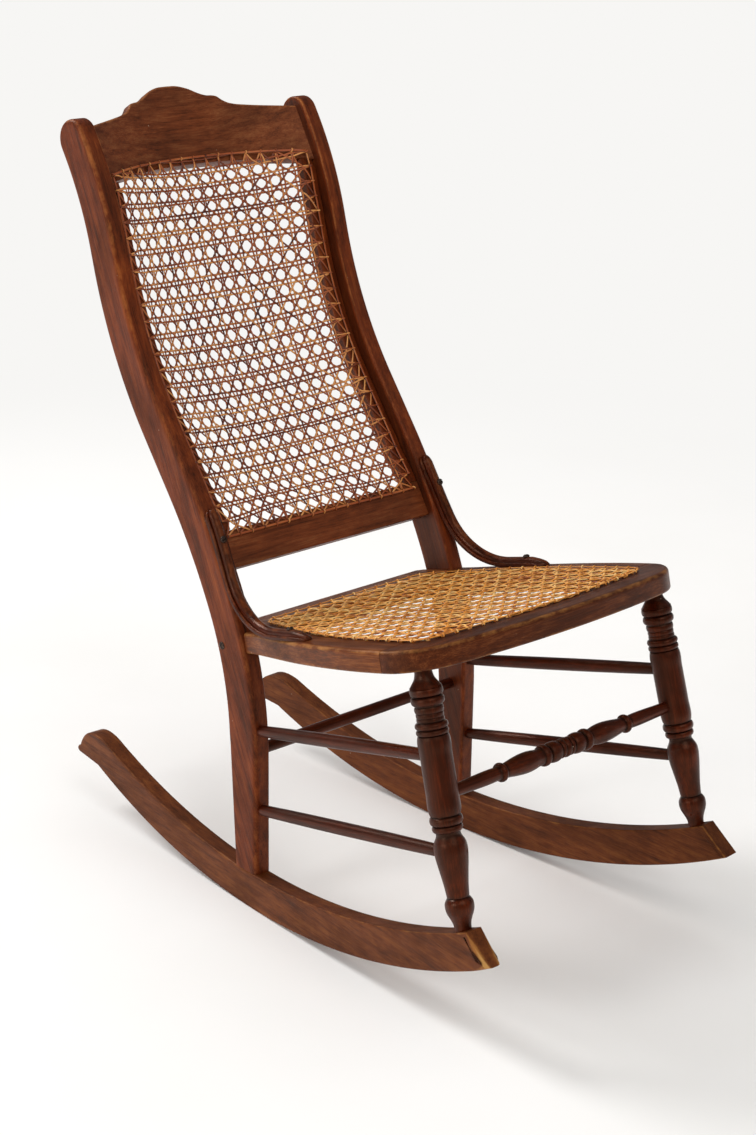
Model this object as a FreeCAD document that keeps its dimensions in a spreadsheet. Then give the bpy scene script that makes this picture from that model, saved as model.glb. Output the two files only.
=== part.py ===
import FreeCAD, Part
import math
import os

# Rocking chair of turned and sawn hardwood with a caned seat and back, in millimetres.
# +Z is up, -Y is the front, +X is the sitter's left, and the floor is Z = 0. The pieces are laid
# out with the centre of the rockers' curve over Y = 0, then the whole chair is rolled to its rest.

V = FreeCAD.Vector
doc = FreeCAD.newDocument("rocking_chair")

SIZES = {
    "fit_gap": 0.15,
    "rocker_curve": 860.0,
    "rocker_rise": 45.0,
    "rocker_thick": 22.0,
    "rocker_reach": 390.0,
    "rocker_nose": 34.0,
    "rocker_tail": 66.0,
    "rocker_tail_under": 47.0,
    "rocker_tail_height": 77.5,
    "rocker_tail_tip": 8.0,
    "rocker_toe_in": 3.3,
    "post_outer": 177.0,
    "post_thick": 21.5,
    "post_depth": 46.0,
    "post_foot_depth": 36.0,
    "post_foot_front": 10.0,
    "post_foot_run": 145.0,
    "post_foot_lean": -1.3,
    "post_hip_curve": 419.0,
    "post_hip_lean": 24.0,
    "post_waist_curve": 747.0,
    "post_waist_lean": 35.5,
    "post_waist_run": 74.0,
    "post_shoulder_curve": 502.0,
    "post_shoulder_lean": 14.0,
    "post_shoulder_run": 15.5,
    "post_crown_curve": 421.0,
    "post_crown_lean": 31.0,
    "post_crown_run": 12.0,
    "post_edge": 4.5,
    "seat_height": 344.8,
    "seat_slope": 13.1,
    "seat_thick": 24.0,
    "seat_front": 325.5,
    "seat_front_curve": 935.0,
    "seat_front_angle": 9.85,
    "seat_corner_curve": 66.0,
    "seat_corner_angle": 87.0,
    "seat_side_curve": 667.0,
    "seat_side_angle": 103.5,
    "seat_joint": 243.0,
    "seat_rear": 88.0,
    "seat_rear_rail": 50.0,
    "seat_rear_arm": 34.0,
    "seat_rail": 50.0,
    "seat_hole_inset": 38.0,
    "seat_edge": 3.5,
    "cane_thick": 1.6,
    "binder_width": 3.0,
    "cane_set_back": 13.0,
    "cane_hole_inset": 7.5,
    "stile_width": 17.0,
    "stile_thick": 14.0,
    "back_bow": 34.0,
    "back_bow_fade": 95.0,
    "crest_height": 815.0,
    "crest_thick": 17.0,
    "crest_end": 61.0,
    "crest_peak": 114.0,
    "crest_arch": 17.0,
    "lower_rail_height": 397.7,
    "lower_rail_wide": 43.5,
    "lower_rail_thick": 19.0,
    "leg_blank": 34.5,
    "leg_top_x": 179.0,
    "leg_top_y": 269.6,
    "leg_foot_y": 338.5,
    "leg_neck": 17.0,
    "leg_foot": 16.5,
    "leg_top_tenon": 19.0,
    "leg_top_tenon_long": 16.0,
    "leg_foot_tenon": 12.0,
    "leg_foot_tenon_long": 24.0,
    "leg_foot_seat": 4.0,
    "front_stretcher": 15.0,
    "front_stretcher_swell": 23.0,
    "front_stretcher_height": 253.5,
    "side_stretcher": 13.5,
    "side_stretcher_end": 11.0,
    "side_upper_post": 221.0,
    "side_upper_leg": 293.0,
    "side_lower_post": 123.0,
    "side_lower_leg": 194.0,
    "rear_stretcher": 12.5,
    "rear_stretcher_height": 190.0,
    "stretcher_tenon": 10.0,
    "bracket_width": 19.0,
    "bracket_thick": 10.5,
    "bracket_top": 466.0,
    "bracket_leave": 428.0,
    "bracket_curve": 88.0,
    "bracket_reach": 106.0,
    "bracket_swing": 20.0,
    "bracket_nib": 22.0,
    "back_columns": 8.0,
    "back_rows": 10.0,
    "seat_pitch": 28.0,
    "cane_bar": 0.42,
}

sheet = doc.addObject("Spreadsheet::Sheet", "Sizes")
for row, (name, value) in enumerate(SIZES.items(), 1):
    sheet.set(f"A{row}", name)
    sheet.set(f"B{row}", str(value))
    sheet.setAlias(f"B{row}", name)
doc.recompute()


class Read:
    """Gives each named size as a plain number read back from the sheet."""

    def __getattr__(self, name):
        return float(sheet.get(name))


s = Read()
NODES = []
SIDES = {"right": -1, "left": 1}


def bind(obj, **formulas):
    """Ties properties of an object to cells of the sheet."""
    for prop, formula in formulas.items():
        obj.setExpression(prop, formula)


def node(obj, label):
    obj.Label = label
    NODES.append(obj)
    return obj


def line(a, b):
    return Part.LineSegment(V(*a, 0), V(*b, 0))


def arc(a, b, c):
    return Part.Arc(V(*a, 0), V(*b, 0), V(*c, 0))


def spline(points):
    curve = Part.BSplineCurve()
    curve.interpolate([V(*p, 0) for p in points])
    return curve


def chain(points):
    """Straight edges from point to point."""
    return [line(a, b) for a, b in zip(points, points[1:])]


def sketch(body, role, edges):
    plane = next(f for f in body.Origin.OriginFeatures if f.Role == role)
    outline = body.newObject("Sketcher::SketchObject", "Outline")
    outline.AttachmentSupport = [(plane, "")]
    outline.MapMode = "FlatFace"
    for edge in edges:
        outline.addGeometry(edge)
    return outline


def plate(name, role, edges, thick, rounds=None):
    """A sawn plate: an outline on an origin plane, padded evenly to both sides."""
    body = doc.addObject("PartDesign::Body", name)
    pad = body.newObject("PartDesign::Pad", "Plate")
    pad.Profile = sketch(body, role, edges)
    pad.SideType = "Symmetric"
    bind(pad, Length=thick)
    doc.recompute()
    if rounds:
        pick, radius = rounds
        names = [f"Edge{i}" for i, e in enumerate(pad.Shape.Edges, 1) if pick(e)]
        bevel = body.newObject("PartDesign::Chamfer", "Bevels")
        bevel.Base = (pad, names)
        bind(bevel, Size=radius)
        body.Tip = bevel
    return body


def turned(name, edges):
    """A turned piece: a half section on the XZ plane, spun about Z."""
    body = doc.addObject("PartDesign::Body", name)
    spin = body.newObject("PartDesign::Revolution", "Turning")
    profile = sketch(body, "XZ_Plane", edges)
    spin.Profile = profile
    spin.ReferenceAxis = (profile, ["V_Axis"])
    spin.Angle = 360
    return body


def along(start, end):
    """Placement that puts Z = 0 at start and runs +Z towards end."""
    return FreeCAD.Placement(start, FreeCAD.Rotation(V(0, 0, 1), end - start))


def rod(name, start, end, radius):
    """A plain cylinder from start to end; radius is a formula on the sheet."""
    piece = doc.addObject("Part::Cylinder", name)
    bind(piece, Radius=radius)
    piece.Height = (end - start).Length
    piece.Placement = along(start, end)
    return piece


def group(name, pieces):
    """Separate solids kept in one node."""
    many = doc.addObject("Part::Compound", name)
    many.Links = pieces
    return many


def less(name, base, tools):
    """A piece with its holes and housings cut."""
    cut = doc.addObject("Part::Cut", name)
    cut.Base = base
    cut.Tool = tools[0] if len(tools) == 1 else group(name + "_holes", tools)
    return cut


# Curve of the back: the front edge of a post as straight runs and arcs that meet smoothly. A
# place on it is a distance along the edge, with an offset square to it towards the rear.

def rocker_edge(y, lift):
    """Height of a rocker's curved edge at y; the top edge is the bottom edge lifted."""
    return lift + s.rocker_curve - math.sqrt(s.rocker_curve ** 2 - y * y)


def back_runs():
    """Each run of the edge: start distance, length, start point, start lean and end lean."""
    leans = [s.post_foot_lean, s.post_hip_lean, s.post_waist_lean, s.post_shoulder_lean, s.post_crown_lean]
    curves = [s.post_hip_curve, s.post_waist_curve, s.post_shoulder_curve, s.post_crown_curve]
    straights = [s.post_foot_run, 0.0, s.post_waist_run, s.post_shoulder_run, s.post_crown_run]
    runs = []
    at, y, z = 0.0, s.post_foot_front, rocker_edge(s.post_foot_front, s.rocker_rise)
    for i, lean in enumerate(math.radians(v) for v in leans):
        if straights[i]:
            runs.append((at, straights[i], y, z, lean, lean))
            at += straights[i]
            y += straights[i] * math.sin(lean)
            z += straights[i] * math.cos(lean)
        if i < len(curves):
            after = math.radians(leans[i + 1])
            turn = after - lean
            radius = curves[i] * (1 if turn > 0 else -1)
            runs.append((at, radius * turn, y, z, lean, after))
            at += radius * turn
            y += radius * (math.cos(lean) - math.cos(after))
            z += radius * (math.sin(after) - math.sin(lean))
    return runs


BACK = back_runs()
BACK_END = BACK[-1][0] + BACK[-1][1]


def back_at(dist, off=0.0):
    """(y, z) at a distance along the post's front edge, set back by off."""
    run = next(r for r in reversed(BACK) if dist >= r[0] - 1e-9 or r is BACK[0])
    start, long, y, z, lean, after = run
    part = dist - start
    if abs(after - lean) < 1e-9:
        now = lean
        y, z = y + part * math.sin(lean), z + part * math.cos(lean)
    else:
        now = lean + (after - lean) * part / long
        radius = long / (after - lean)
        y += radius * (math.cos(lean) - math.cos(now))
        z += radius * (math.sin(now) - math.sin(lean))
    return y + off * math.cos(now), z - off * math.sin(now)


def back_lean(dist):
    a, b = back_at(dist - 0.5), back_at(dist + 0.5)
    return math.atan2(b[0] - a[0], b[1] - a[1])


def back_where(height, off=0.0):
    """Distance along the edge at which the set-back edge reaches a height."""
    low, high = 0.0, BACK_END
    for _ in range(50):
        mid = (low + high) / 2
        low, high = (mid, high) if back_at(mid, off)[1] < height else (low, mid)
    return (low + high) / 2


def back_edges(begin, end, off):
    """The set-back edge between two distances, one line or arc for each run."""
    edges = []
    for start, long, y, z, lean, after in BACK:
        a, b = max(start, begin), min(start + long, end)
        if b - a < 0.01:
            continue
        first, last = back_at(a + 1e-6, off), back_at(b - 1e-6, off)
        if edges:
            first = edges[-1][1]
        middle = back_at((a + b) / 2, off)
        straight = abs(after - lean) < 1e-9
        edges.append((line(first, last) if straight else arc(first, middle, last), last))
    return [edge for edge, _ in edges]


def ends_of(edges):
    return (edges[0].StartPoint.x, edges[0].StartPoint.y), (edges[-1].EndPoint.x, edges[-1].EndPoint.y)


def strip(near, far):
    """Closed outline from two sets of edges that run the same way."""
    (a, b), (c, d) = ends_of(near), ends_of(far)
    return near + far + [line(a, c), line(b, d)]


# Seat frame: plan arcs measured in the seat's own plane, which slopes down to the rear.

SEAT = FreeCAD.Placement(V(0, 0, s.seat_height), FreeCAD.Rotation(V(1, 0, 0), -s.seat_slope))


def on_seat(x, y, z=0.0):
    return SEAT.multVec(V(x, y, z))


def to_seat(point):
    return SEAT.inverse().multVec(point)


def swing(centre, radius, angle):
    a = math.radians(angle)
    return centre[0] + radius * math.sin(a), centre[1] - radius * math.cos(a)


def seat_side(inset):
    """Right half of the seat's plan at an inset: front, corner and side arcs, and their end."""
    front, corner, side = s.seat_front_angle, s.seat_corner_angle, s.seat_side_angle
    c1 = (0.0, s.seat_front_curve - s.seat_front)
    c2 = swing(c1, s.seat_front_curve - s.seat_corner_curve, front)
    c3 = swing(c2, s.seat_corner_curve - s.seat_side_curve, corner)
    radii = [r - inset for r in (s.seat_front_curve, s.seat_corner_curve, s.seat_side_curve)]
    p0 = swing(c1, radii[0], 0.0)
    p1 = swing(c1, radii[0], front)
    p2 = swing(c2, radii[1], corner)
    p3 = swing(c3, radii[2], side)
    return [
        (p0, swing(c1, radii[0], front / 2), p1),
        (p1, swing(c2, radii[1], (front + corner) / 2), p2),
        (p2, swing(c3, radii[2], (corner + side) / 2), p3),
    ]


def mirrored(p):
    return -p[0], p[1]


def seat_outline(inset, tail):
    """Closed plan: the arcs on both sides, joined at the rear through the tail's points."""
    half = seat_side(inset)
    (first, m0, front_end), *rest = half
    edges = [arc(mirrored(front_end), first, front_end)]
    edges += [arc(a, b, c) for a, b, c in rest]
    edges += [arc(mirrored(a), mirrored(b), mirrored(c)) for a, b, c in rest]
    points = [half[-1][2]] + tail
    points += [mirrored(p) for p in reversed(points)]
    return edges + chain(points)


def seat_post():
    """Where the posts cross the seat: nearest local y of a post's front face, and of its rear."""
    at = back_where(s.seat_height - s.seat_thick / 2)
    span = [at + s.seat_thick * (i / 4 - 1) for i in range(9)]
    points = [to_seat(V(0, *back_at(d))) for d in span]
    front = min(p.y for p in points if -s.seat_thick - 1 < p.z < 1)
    return front, to_seat(V(0, *back_at(at, s.post_depth))).y


POST_X = s.post_outer - s.post_thick / 2
POST_INNER = s.post_outer - s.post_thick
POST_FRONT, POST_REAR = seat_post()


def seat_blank():
    """The seat frame in one piece, before the four rails are parted."""
    end = seat_side(0)[-1][2]
    inner = POST_INNER - s.fit_gap
    outer = [(s.post_outer - 2, POST_FRONT - s.fit_gap), (inner, POST_FRONT - s.fit_gap),
             (inner, s.seat_rear - 8), (inner - 8, s.seat_rear)]
    open_rear = s.seat_rear - s.seat_rear_rail
    open_half = POST_INNER - s.seat_rear_arm
    opening = [(open_half + 6, open_rear - 14), (open_half - 8, open_rear)]
    body = doc.addObject("PartDesign::Body", "SeatBlank")
    pad = body.newObject("PartDesign::Pad", "Board")
    pad.Profile = sketch(body, "XY_Plane", seat_outline(0, outer))
    pad.Reversed = True
    bind(pad, Length="Sizes.seat_thick")
    doc.recompute()
    rim = []
    for i, edge in enumerate(pad.Shape.Edges, 1):
        box = edge.BoundBox
        level = box.ZLength < 0.01
        if level and box.YMax < POST_FRONT - 1 and box.XLength + box.YLength > 20:
            rim.append(f"Edge{i}")
    bevel = body.newObject("PartDesign::Chamfer", "EasedRim")
    bevel.Base = (pad, rim)
    bind(bevel, Size="Sizes.seat_edge")
    doc.recompute()
    cut = body.newObject("PartDesign::Pocket", "Opening")
    cut.Profile = sketch(body, "XY_Plane", seat_outline(s.seat_rail, opening))
    cut.Type = "ThroughAll"
    body.Tip = cut
    body.Placement = SEAT
    doc.recompute()
    assert cut.Shape.Volume < 0.6 * s.seat_thick * 4 * s.seat_front * s.post_outer
    return body


def box_on_seat(name, x0, x1, y0, y1):
    block = doc.addObject("Part::Box", name)
    block.Length, block.Width, block.Height = x1 - x0, y1 - y0, 4 * s.seat_thick
    block.Placement = FreeCAD.Placement(on_seat(x0, y0, -2.5 * s.seat_thick), SEAT.Rotation)
    return block


def cylinder_cut(name, start, end, radius):
    """Hole for a round piece, wider than it by the fitting gap."""
    return rod(name, start, end, f"{radius} + Sizes.fit_gap")


# Places that several pieces share.

def rocker_x(y):
    """Middle of a rocker's thickness at y; the rockers run closer together to the rear."""
    foot = (s.post_foot_front + s.post_foot_depth) / 2
    return POST_X - (y - foot) * math.tan(math.radians(s.rocker_toe_in))


def leg_line(side):
    top = on_seat(side * s.leg_top_x, -s.leg_top_y, -s.seat_thick)
    y = -s.leg_foot_y
    foot = V(side * rocker_x(y), y, rocker_edge(y, s.rocker_rise))
    return top, foot


def leg_at(side, height):
    top, foot = leg_line(side)
    return top + (foot - top) * ((top.z - height) / (top.z - foot.z))


def post_at(side, height, off):
    return V(side * POST_X, *back_at(back_where(height, off), off))


def unit(a, b):
    d = b - a
    return d / d.Length


def make_rocker(label, side, holes):
    reach, lift = s.rocker_reach, s.rocker_rise
    nose_y = -(reach - s.rocker_nose)
    nose_top = (nose_y, rocker_edge(nose_y, lift))
    nose_tip = (-reach, rocker_edge(reach, 0))
    tail_y = reach - s.rocker_tail
    tail_top = (tail_y, rocker_edge(tail_y, lift))
    low, tip = s.rocker_tail_height, s.rocker_tail_tip
    tail_low, tip_top = (reach - 5, low), (reach - 6, low + tip)
    fall = tail_top[1] - tip_top[1]
    bend = (tail_y + 0.55 * (tip_top[0] - tail_y), tail_top[1] - 0.36 * fall)
    under_y = reach - s.rocker_tail_under
    under = (under_y, rocker_edge(under_y, 0))
    edges = [
        arc(nose_tip, (0, 0), under),
        line(under, tail_low),
        arc(tail_low, (reach, low + 0.55 * tip), tip_top),
        arc(tip_top, bend, tail_top),
        arc(tail_top, (0, lift), nose_top),
        line(nose_top, nose_tip),
    ]
    blank = plate("Rocker_" + label, "YZ_Plane", edges, "Sizes.rocker_thick")
    turn = FreeCAD.Rotation(V(0, 0, 1), side * s.rocker_toe_in)
    blank.Placement = FreeCAD.Placement(V(side * rocker_x(0), 0, 0), turn)
    return node(less("RockerCut_" + label, blank, holes), "rocker_" + label)


def make_post(label, side, holes):
    off = s.post_depth
    turn_in = s.post_foot_run + 20
    front = back_edges(0, BACK_END, 0)
    rear = back_edges(turn_in, BACK_END, off)
    foot = s.fit_gap
    front_foot, (fy, fz) = ends_of(front)
    (ry, rz), rear_top = ends_of(rear)
    heel_y = s.post_foot_front + s.post_foot_depth
    heel = (heel_y, rocker_edge(heel_y, s.rocker_rise) + foot)
    toe = (front_foot[0], front_foot[1] + foot)
    front[0] = line(toe, (front[0].EndPoint.x, front[0].EndPoint.y))
    middle = s.post_foot_front + s.post_foot_depth / 2
    crown = back_at(BACK_END + off / 2 - 1, off / 2)
    edges = front + rear + [
        line(heel, (ry, rz)),
        arc((fy, fz), crown, rear_top),
        arc(toe, (middle, rocker_edge(middle, s.rocker_rise) + foot), heel),
    ]

    def front_rim(edge):
        mid = edge.valueAt((edge.FirstParameter + edge.LastParameter) / 2)
        side_face = edge.BoundBox.XLength < 0.01
        above = mid.z > rocker_edge(heel_y, s.rocker_rise) + 3
        at = back_where(mid.z)
        return side_face and above and math.hypot(mid.y - back_at(at)[0], mid.z - back_at(at)[1]) < 6

    blank = plate("Post_" + label, "YZ_Plane", edges, "Sizes.post_thick", (front_rim, "Sizes.post_edge"))
    blank.Placement = FreeCAD.Placement(V(side * POST_X, 0, 0), FreeCAD.Rotation())
    return node(less("PostCut_" + label, blank, holes), "back_post_" + label)


STILE_LOW = back_where(s.lower_rail_height + s.lower_rail_wide * math.cos(math.radians(25)), s.cane_set_back)
CREST_AT = back_where(s.crest_height, s.cane_set_back)


def make_stile(label, side):
    a, b = STILE_LOW + 1.0, CREST_AT - 2.5
    near = back_edges(a, b, s.cane_set_back)
    far = back_edges(a, b, s.cane_set_back + s.stile_thick)
    piece = plate("Stile_" + label, "YZ_Plane", strip(near, far), "Sizes.stile_width")
    x = POST_INNER - s.fit_gap - s.stile_width / 2
    piece.Placement = FreeCAD.Placement(V(side * x, 0, 0), FreeCAD.Rotation())
    return node(piece, "cane_stile_" + label)


def lower_rail_frame():
    """Middle of the rail's front face, which is flat and in line with the cane at its top edge."""
    lean, drop = back_lean(STILE_LOW), s.lower_rail_wide / 2
    y, z = back_at(STILE_LOW, s.cane_set_back)
    turn = FreeCAD.Rotation(V(1, 0, 0), -math.degrees(lean))
    return FreeCAD.Placement(V(0, y - drop * math.sin(lean), z - drop * math.cos(lean)), turn)


def make_lower_rail():
    """Flat rail between the posts, its face in line with the cane."""
    wide, thick = s.lower_rail_wide / 2, s.lower_rail_thick
    body = plate("LowerRail", "YZ_Plane", chain([(0, -wide), (0, wide), (thick, wide), (thick, -wide), (0, -wide)]),
                 "2 * (Sizes.post_outer - Sizes.post_thick - Sizes.fit_gap)")
    body.Placement = lower_rail_frame()
    return node(body, "lower_back_rail")


def crest_frame():
    lean = back_lean(CREST_AT + s.crest_end / 2)
    y, z = back_at(CREST_AT, s.cane_set_back)
    return FreeCAD.Placement(V(0, y, z), FreeCAD.Rotation(V(1, 0, 0), -math.degrees(lean)))


def crest_half_top():
    """Top outline from the end to the middle: shoulder, ear and peak, as x and height."""
    end, peak, half = s.crest_end, s.crest_peak, POST_INNER
    rise = peak - end
    return [(half * 0.96, end), (half * 0.78, end + 0.17 * rise), (half * 0.60, end + 0.30 * rise),
            (half * 0.49, end + 0.50 * rise), (half * 0.40, end + 0.63 * rise),
            (half * 0.29, end + 0.75 * rise), (half * 0.17, end + 0.92 * rise), (0, peak)]


def bowed(name, shape, front, thick):
    """A front view run through a board that is bowed to the rear; front is its face's depth."""
    view = doc.addObject("PartDesign::Body", name + "View")
    pad = view.newObject("PartDesign::Pad", "FrontView")
    pad.Profile = sketch(view, "XZ_Plane", shape)
    pad.SideType = "Symmetric"
    pad.Length = 4 * (s.back_bow + s.crest_thick)
    half = POST_INNER - s.fit_gap
    wide = half + 5
    mid, end = front + s.back_bow, front + s.back_bow * (1 - (wide / half) ** 2)
    board = doc.addObject("PartDesign::Body", name + "Board")
    slab = board.newObject("PartDesign::Pad", "BowedBoard")
    slab.Profile = sketch(board, "XY_Plane", [
        arc((-wide, end), (0, mid), (wide, end)),
        arc((-wide, end + thick), (0, mid + thick), (wide, end + thick)),
        line((-wide, end), (-wide, end + thick)),
        line((wide, end), (wide, end + thick)),
    ])
    slab.SideType = "Symmetric"
    slab.Length = 4 * s.crest_peak
    common = doc.addObject("Part::Common", name + "Shape")
    common.Base, common.Tool = view, board
    common.Placement = crest_frame()
    return common


def make_crest():
    half = POST_INNER - s.fit_gap
    points = [(half, s.crest_end - 3)] + crest_half_top()
    points += [mirrored(p) for p in reversed(points[:-1])]
    shape = [spline(points), arc((-half, 0), (0, s.crest_arch), (half, 0)),
             line((half, 0), points[0]), line((-half, 0), points[-1])]
    return node(bowed("Crest", shape, 0, s.crest_thick), "crest_rail")


def make_back_binding():
    """The flat strand laid over the holes, on the two stiles and the two rails."""
    wide, thick, gap = s.binder_width, s.cane_thick, s.fit_gap
    line_x = POST_INNER - s.stile_width / 2
    inset = s.cane_hole_inset
    strips = []
    for label, side in SIDES.items():
        near = back_edges(STILE_LOW + 2, CREST_AT - 4, s.cane_set_back - gap - thick)
        far = back_edges(STILE_LOW + 2, CREST_AT - 4, s.cane_set_back - gap)
        strand = plate("SideStrand_" + label, "YZ_Plane", strip(near, far), "Sizes.binder_width")
        strand.Placement = FreeCAD.Placement(V(side * line_x, 0, 0), FreeCAD.Rotation())
        strips.append(strand)
    low = doc.addObject("Part::Box", "LowStrand")
    low.Length, low.Width, low.Height = 2 * line_x, thick, wide
    frame = lower_rail_frame()
    at = frame.multVec(V(-line_x, -gap - thick, s.lower_rail_wide / 2 - inset - wide / 2))
    low.Placement = FreeCAD.Placement(at, frame.Rotation)
    strips.append(low)
    rise = s.crest_arch
    shape = [arc((-line_x, inset - wide / 2), (0, rise + inset - wide / 2), (line_x, inset - wide / 2)),
             arc((-line_x, inset + wide / 2), (0, rise + inset + wide / 2), (line_x, inset + wide / 2)),
             line((-line_x, inset - wide / 2), (-line_x, inset + wide / 2)),
             line((line_x, inset - wide / 2), (line_x, inset + wide / 2))]
    strips.append(bowed("TopStrand", shape, -gap - thick, thick))
    return node(group("BackBinding", strips), "back_cane_binding")


def make_seat_binding():
    """The flat strand laid over the holes all round the seat's opening."""
    wide, inset = s.binder_width, s.seat_hole_inset
    body = doc.addObject("PartDesign::Body", "SeatBinding")
    ring = body.newObject("PartDesign::Pad", "Ring")
    ring.Profile = sketch(body, "XY_Plane", seat_outline(inset - wide / 2, hole_tail(-wide / 2)))
    bind(ring, Length="Sizes.cane_thick")
    doc.recompute()
    inner = body.newObject("PartDesign::Pocket", "Inside")
    inner.Profile = sketch(body, "XY_Plane", seat_outline(inset + wide / 2, hole_tail(wide / 2)))
    inner.Type = "ThroughAll"
    inner.Reversed = True
    body.Tip = inner
    body.Placement = SEAT.multiply(FreeCAD.Placement(V(0, 0, s.fit_gap), FreeCAD.Rotation()))
    doc.recompute()
    assert inner.Shape.Volume < 0.2 * ring.Shape.Volume
    return node(body, "seat_cane_binding")


def hole_tail(inward):
    """Rear end of the line of cane holes: last corner and rear row, moved inward by a distance."""
    rear = s.seat_rear - s.seat_hole_inset - inward
    half = POST_INNER - s.seat_rear_arm + s.seat_rail - s.seat_hole_inset - inward
    return [(half - 4, rear - 14), (half - 20, rear)]


def cane_depth(x, dist):
    """How far the back's cane is bowed to the rear: as the crest at the top, fading downwards."""
    span = POST_INNER - s.stile_width - s.fit_gap
    fade = math.exp((dist - CREST_AT) / s.back_bow_fade)
    return s.back_bow * (1 - (x / span) ** 2) * min(fade, 1.0)


def cane_point(x, dist, lift=0.0):
    y, z = back_at(dist, s.cane_set_back - lift)
    lean = back_lean(dist)
    bow = cane_depth(x, dist)
    return V(x, y + bow * math.cos(lean), z - bow * math.sin(lean))


def make_back_cane():
    """Woven panel as one curved sheet with a gap for each large opening of the weave."""
    half = POST_INNER - s.stile_width - 2 * s.fit_gap
    low, high = STILE_LOW - 5, CREST_AT + 5
    grid = []
    for i in range(13):
        dist = low + (high - low) * i / 12
        grid.append([cane_point(half * (j / 4 - 1), dist, s.cane_thick + 0.4) for j in range(9)])
    surface = Part.BSplineSurface()
    surface.interpolate(grid)
    lean = back_lean((low + high) / 2)
    square = V(0, math.cos(lean), -math.sin(lean))
    panel = surface.toShape().extrude(square * s.cane_thick)
    columns, rows = int(s.back_columns), int(s.back_rows)
    inside = POST_INNER - s.stile_width - 3
    step_x = 2 * inside / columns
    step_d = (CREST_AT - STILE_LOW - 8) / rows
    gaps = []
    for i in range(rows):
        for j in range(columns):
            x = -inside + step_x * (j + 0.5)
            dist = STILE_LOW + 4 + step_d * (i + 0.5)
            gaps.append(gap_prism(cane_point(x, dist), step_x, step_d, lean, square))
    panel = panel.cut(Part.makeCompound(gaps))
    piece = doc.addObject("Part::Feature", "BackCane")
    piece.Shape = panel
    return node(piece, "back_cane")


def gap_prism(centre, wide, high, lean, square):
    """Four-sided hole through a panel, with the bars of the weave left around it."""
    up = V(0, math.sin(lean), math.cos(lean))
    a, b = wide * (1 - s.cane_bar) / 2, high * (1 - s.cane_bar) / 2
    corners = [(a, b), (-a, b), (-a, -b), (a, -b)]
    ring = [centre + V(1, 0, 0) * u + up * w - square * 30 for u, w in corners]
    return Part.Face(Part.makePolygon(ring + ring[:1])).extrude(square * 60)


def make_seat_cane():
    """Woven seat as one flat sheet on the frame, with a gap for each large opening."""
    inset = s.binder_width / 2 + 0.5
    sheet_edges = seat_outline(s.seat_hole_inset + inset, hole_tail(inset))
    outline = Part.Wire(Part.__sortEdges__([e.toShape() for e in sheet_edges]))
    deep = s.seat_rail + 3 - s.seat_hole_inset
    opening_edges = seat_outline(s.seat_rail + 3, hole_tail(deep))
    opening = Part.Face(Part.Wire(Part.__sortEdges__([e.toShape() for e in opening_edges])))
    panel = Part.Face(outline).extrude(V(0, 0, s.cane_thick))
    up = V(0, 0, 1)
    gaps = []
    count = int(s.seat_front / s.seat_pitch) + 1
    for i in range(-count, count + 1):
        for j in range(-count, count + 1):
            centre = V(i * s.seat_pitch, (j + 0.5) * s.seat_pitch, 0)
            prism = gap_prism(centre, s.seat_pitch, s.seat_pitch, math.radians(90), up)
            foot = prism.BoundBox
            corners = [V(x, y, 0) for x in (foot.XMin, foot.XMax) for y in (foot.YMin, foot.YMax)]
            if all(opening.isInside(c, 0.01, True) for c in corners):
                gaps.append(prism)
    panel = panel.cut(Part.makeCompound(gaps))
    piece = doc.addObject("Part::Feature", "SeatCane")
    piece.Shape = panel
    piece.Placement = SEAT.multiply(FreeCAD.Placement(V(0, 0, s.fit_gap), FreeCAD.Rotation()))
    return node(piece, "seat_cane")


def leg_section(long):
    """Half section of a front leg, from its top tenon down to its foot tenon."""
    r = s.leg_blank / 2
    neck, foot = s.leg_neck / 2, s.leg_foot / 2
    top_tenon, foot_tenon = s.leg_top_tenon / 2, s.leg_foot_tenon / 2
    k = long / 276.0
    z = lambda v: -v * k
    low = -(long + s.leg_foot_seat)
    points = [(0, s.leg_top_tenon_long), (top_tenon, s.leg_top_tenon_long), (top_tenon, -0.2),
              (neck, -0.2), (r, z(17)), (0.98 * r, z(38)), (0.76 * r, z(48)), (r, z(58)), (0.97 * r, z(151)),
              (0.80 * r, z(154)), (r, z(160)), (0.73 * r, z(170)), (r, z(191)), (0.585 * r, z(238)),
              (0.87 * r, z(250)), (0.50 * r, z(268)), (foot, -long + 0.5)]
    points += [(foot, low), (foot_tenon, low), (foot_tenon, -(long + s.leg_foot_tenon_long)),
               (0, -(long + s.leg_foot_tenon_long)), (0, s.leg_top_tenon_long)]
    return chain(points)


def make_leg(label, side, holes):
    top, foot = leg_line(side)
    blank = turned("Leg_" + label, leg_section((top - foot).Length))
    blank.Placement = FreeCAD.Placement(top, FreeCAD.Rotation(V(0, 0, -1), foot - top))
    return node(less("LegCut_" + label, blank, holes), "front_leg_" + label)


def front_stretcher_section(half):
    """Half section of the turned stretcher, from one tenon through the middle to the other."""
    end, r = s.front_stretcher / 2, s.front_stretcher_swell / 2
    tenon = s.stretcher_tenon / 2
    far = half + 4
    k = half / 182.0
    z = lambda v: v * k
    side = [(tenon, far), (tenon, half - s.leg_blank / 2 - 6), (0.86 * end, half - s.leg_blank / 2 - 6),
            (end, z(101)), (1.42 * end, z(98)), (0.95 * end, z(95)), (0.97 * r, z(58)), (0.80 * r, z(37)),
            (1.04 * r, z(33)), (0.72 * r, z(28)), (0.98 * r, z(17)), (0.80 * r, z(6.5))]
    points = [(0, far)] + side + [(r0, -z0) for r0, z0 in reversed(side)] + [(0, -far), (0, far)]
    return chain(points)


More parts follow.
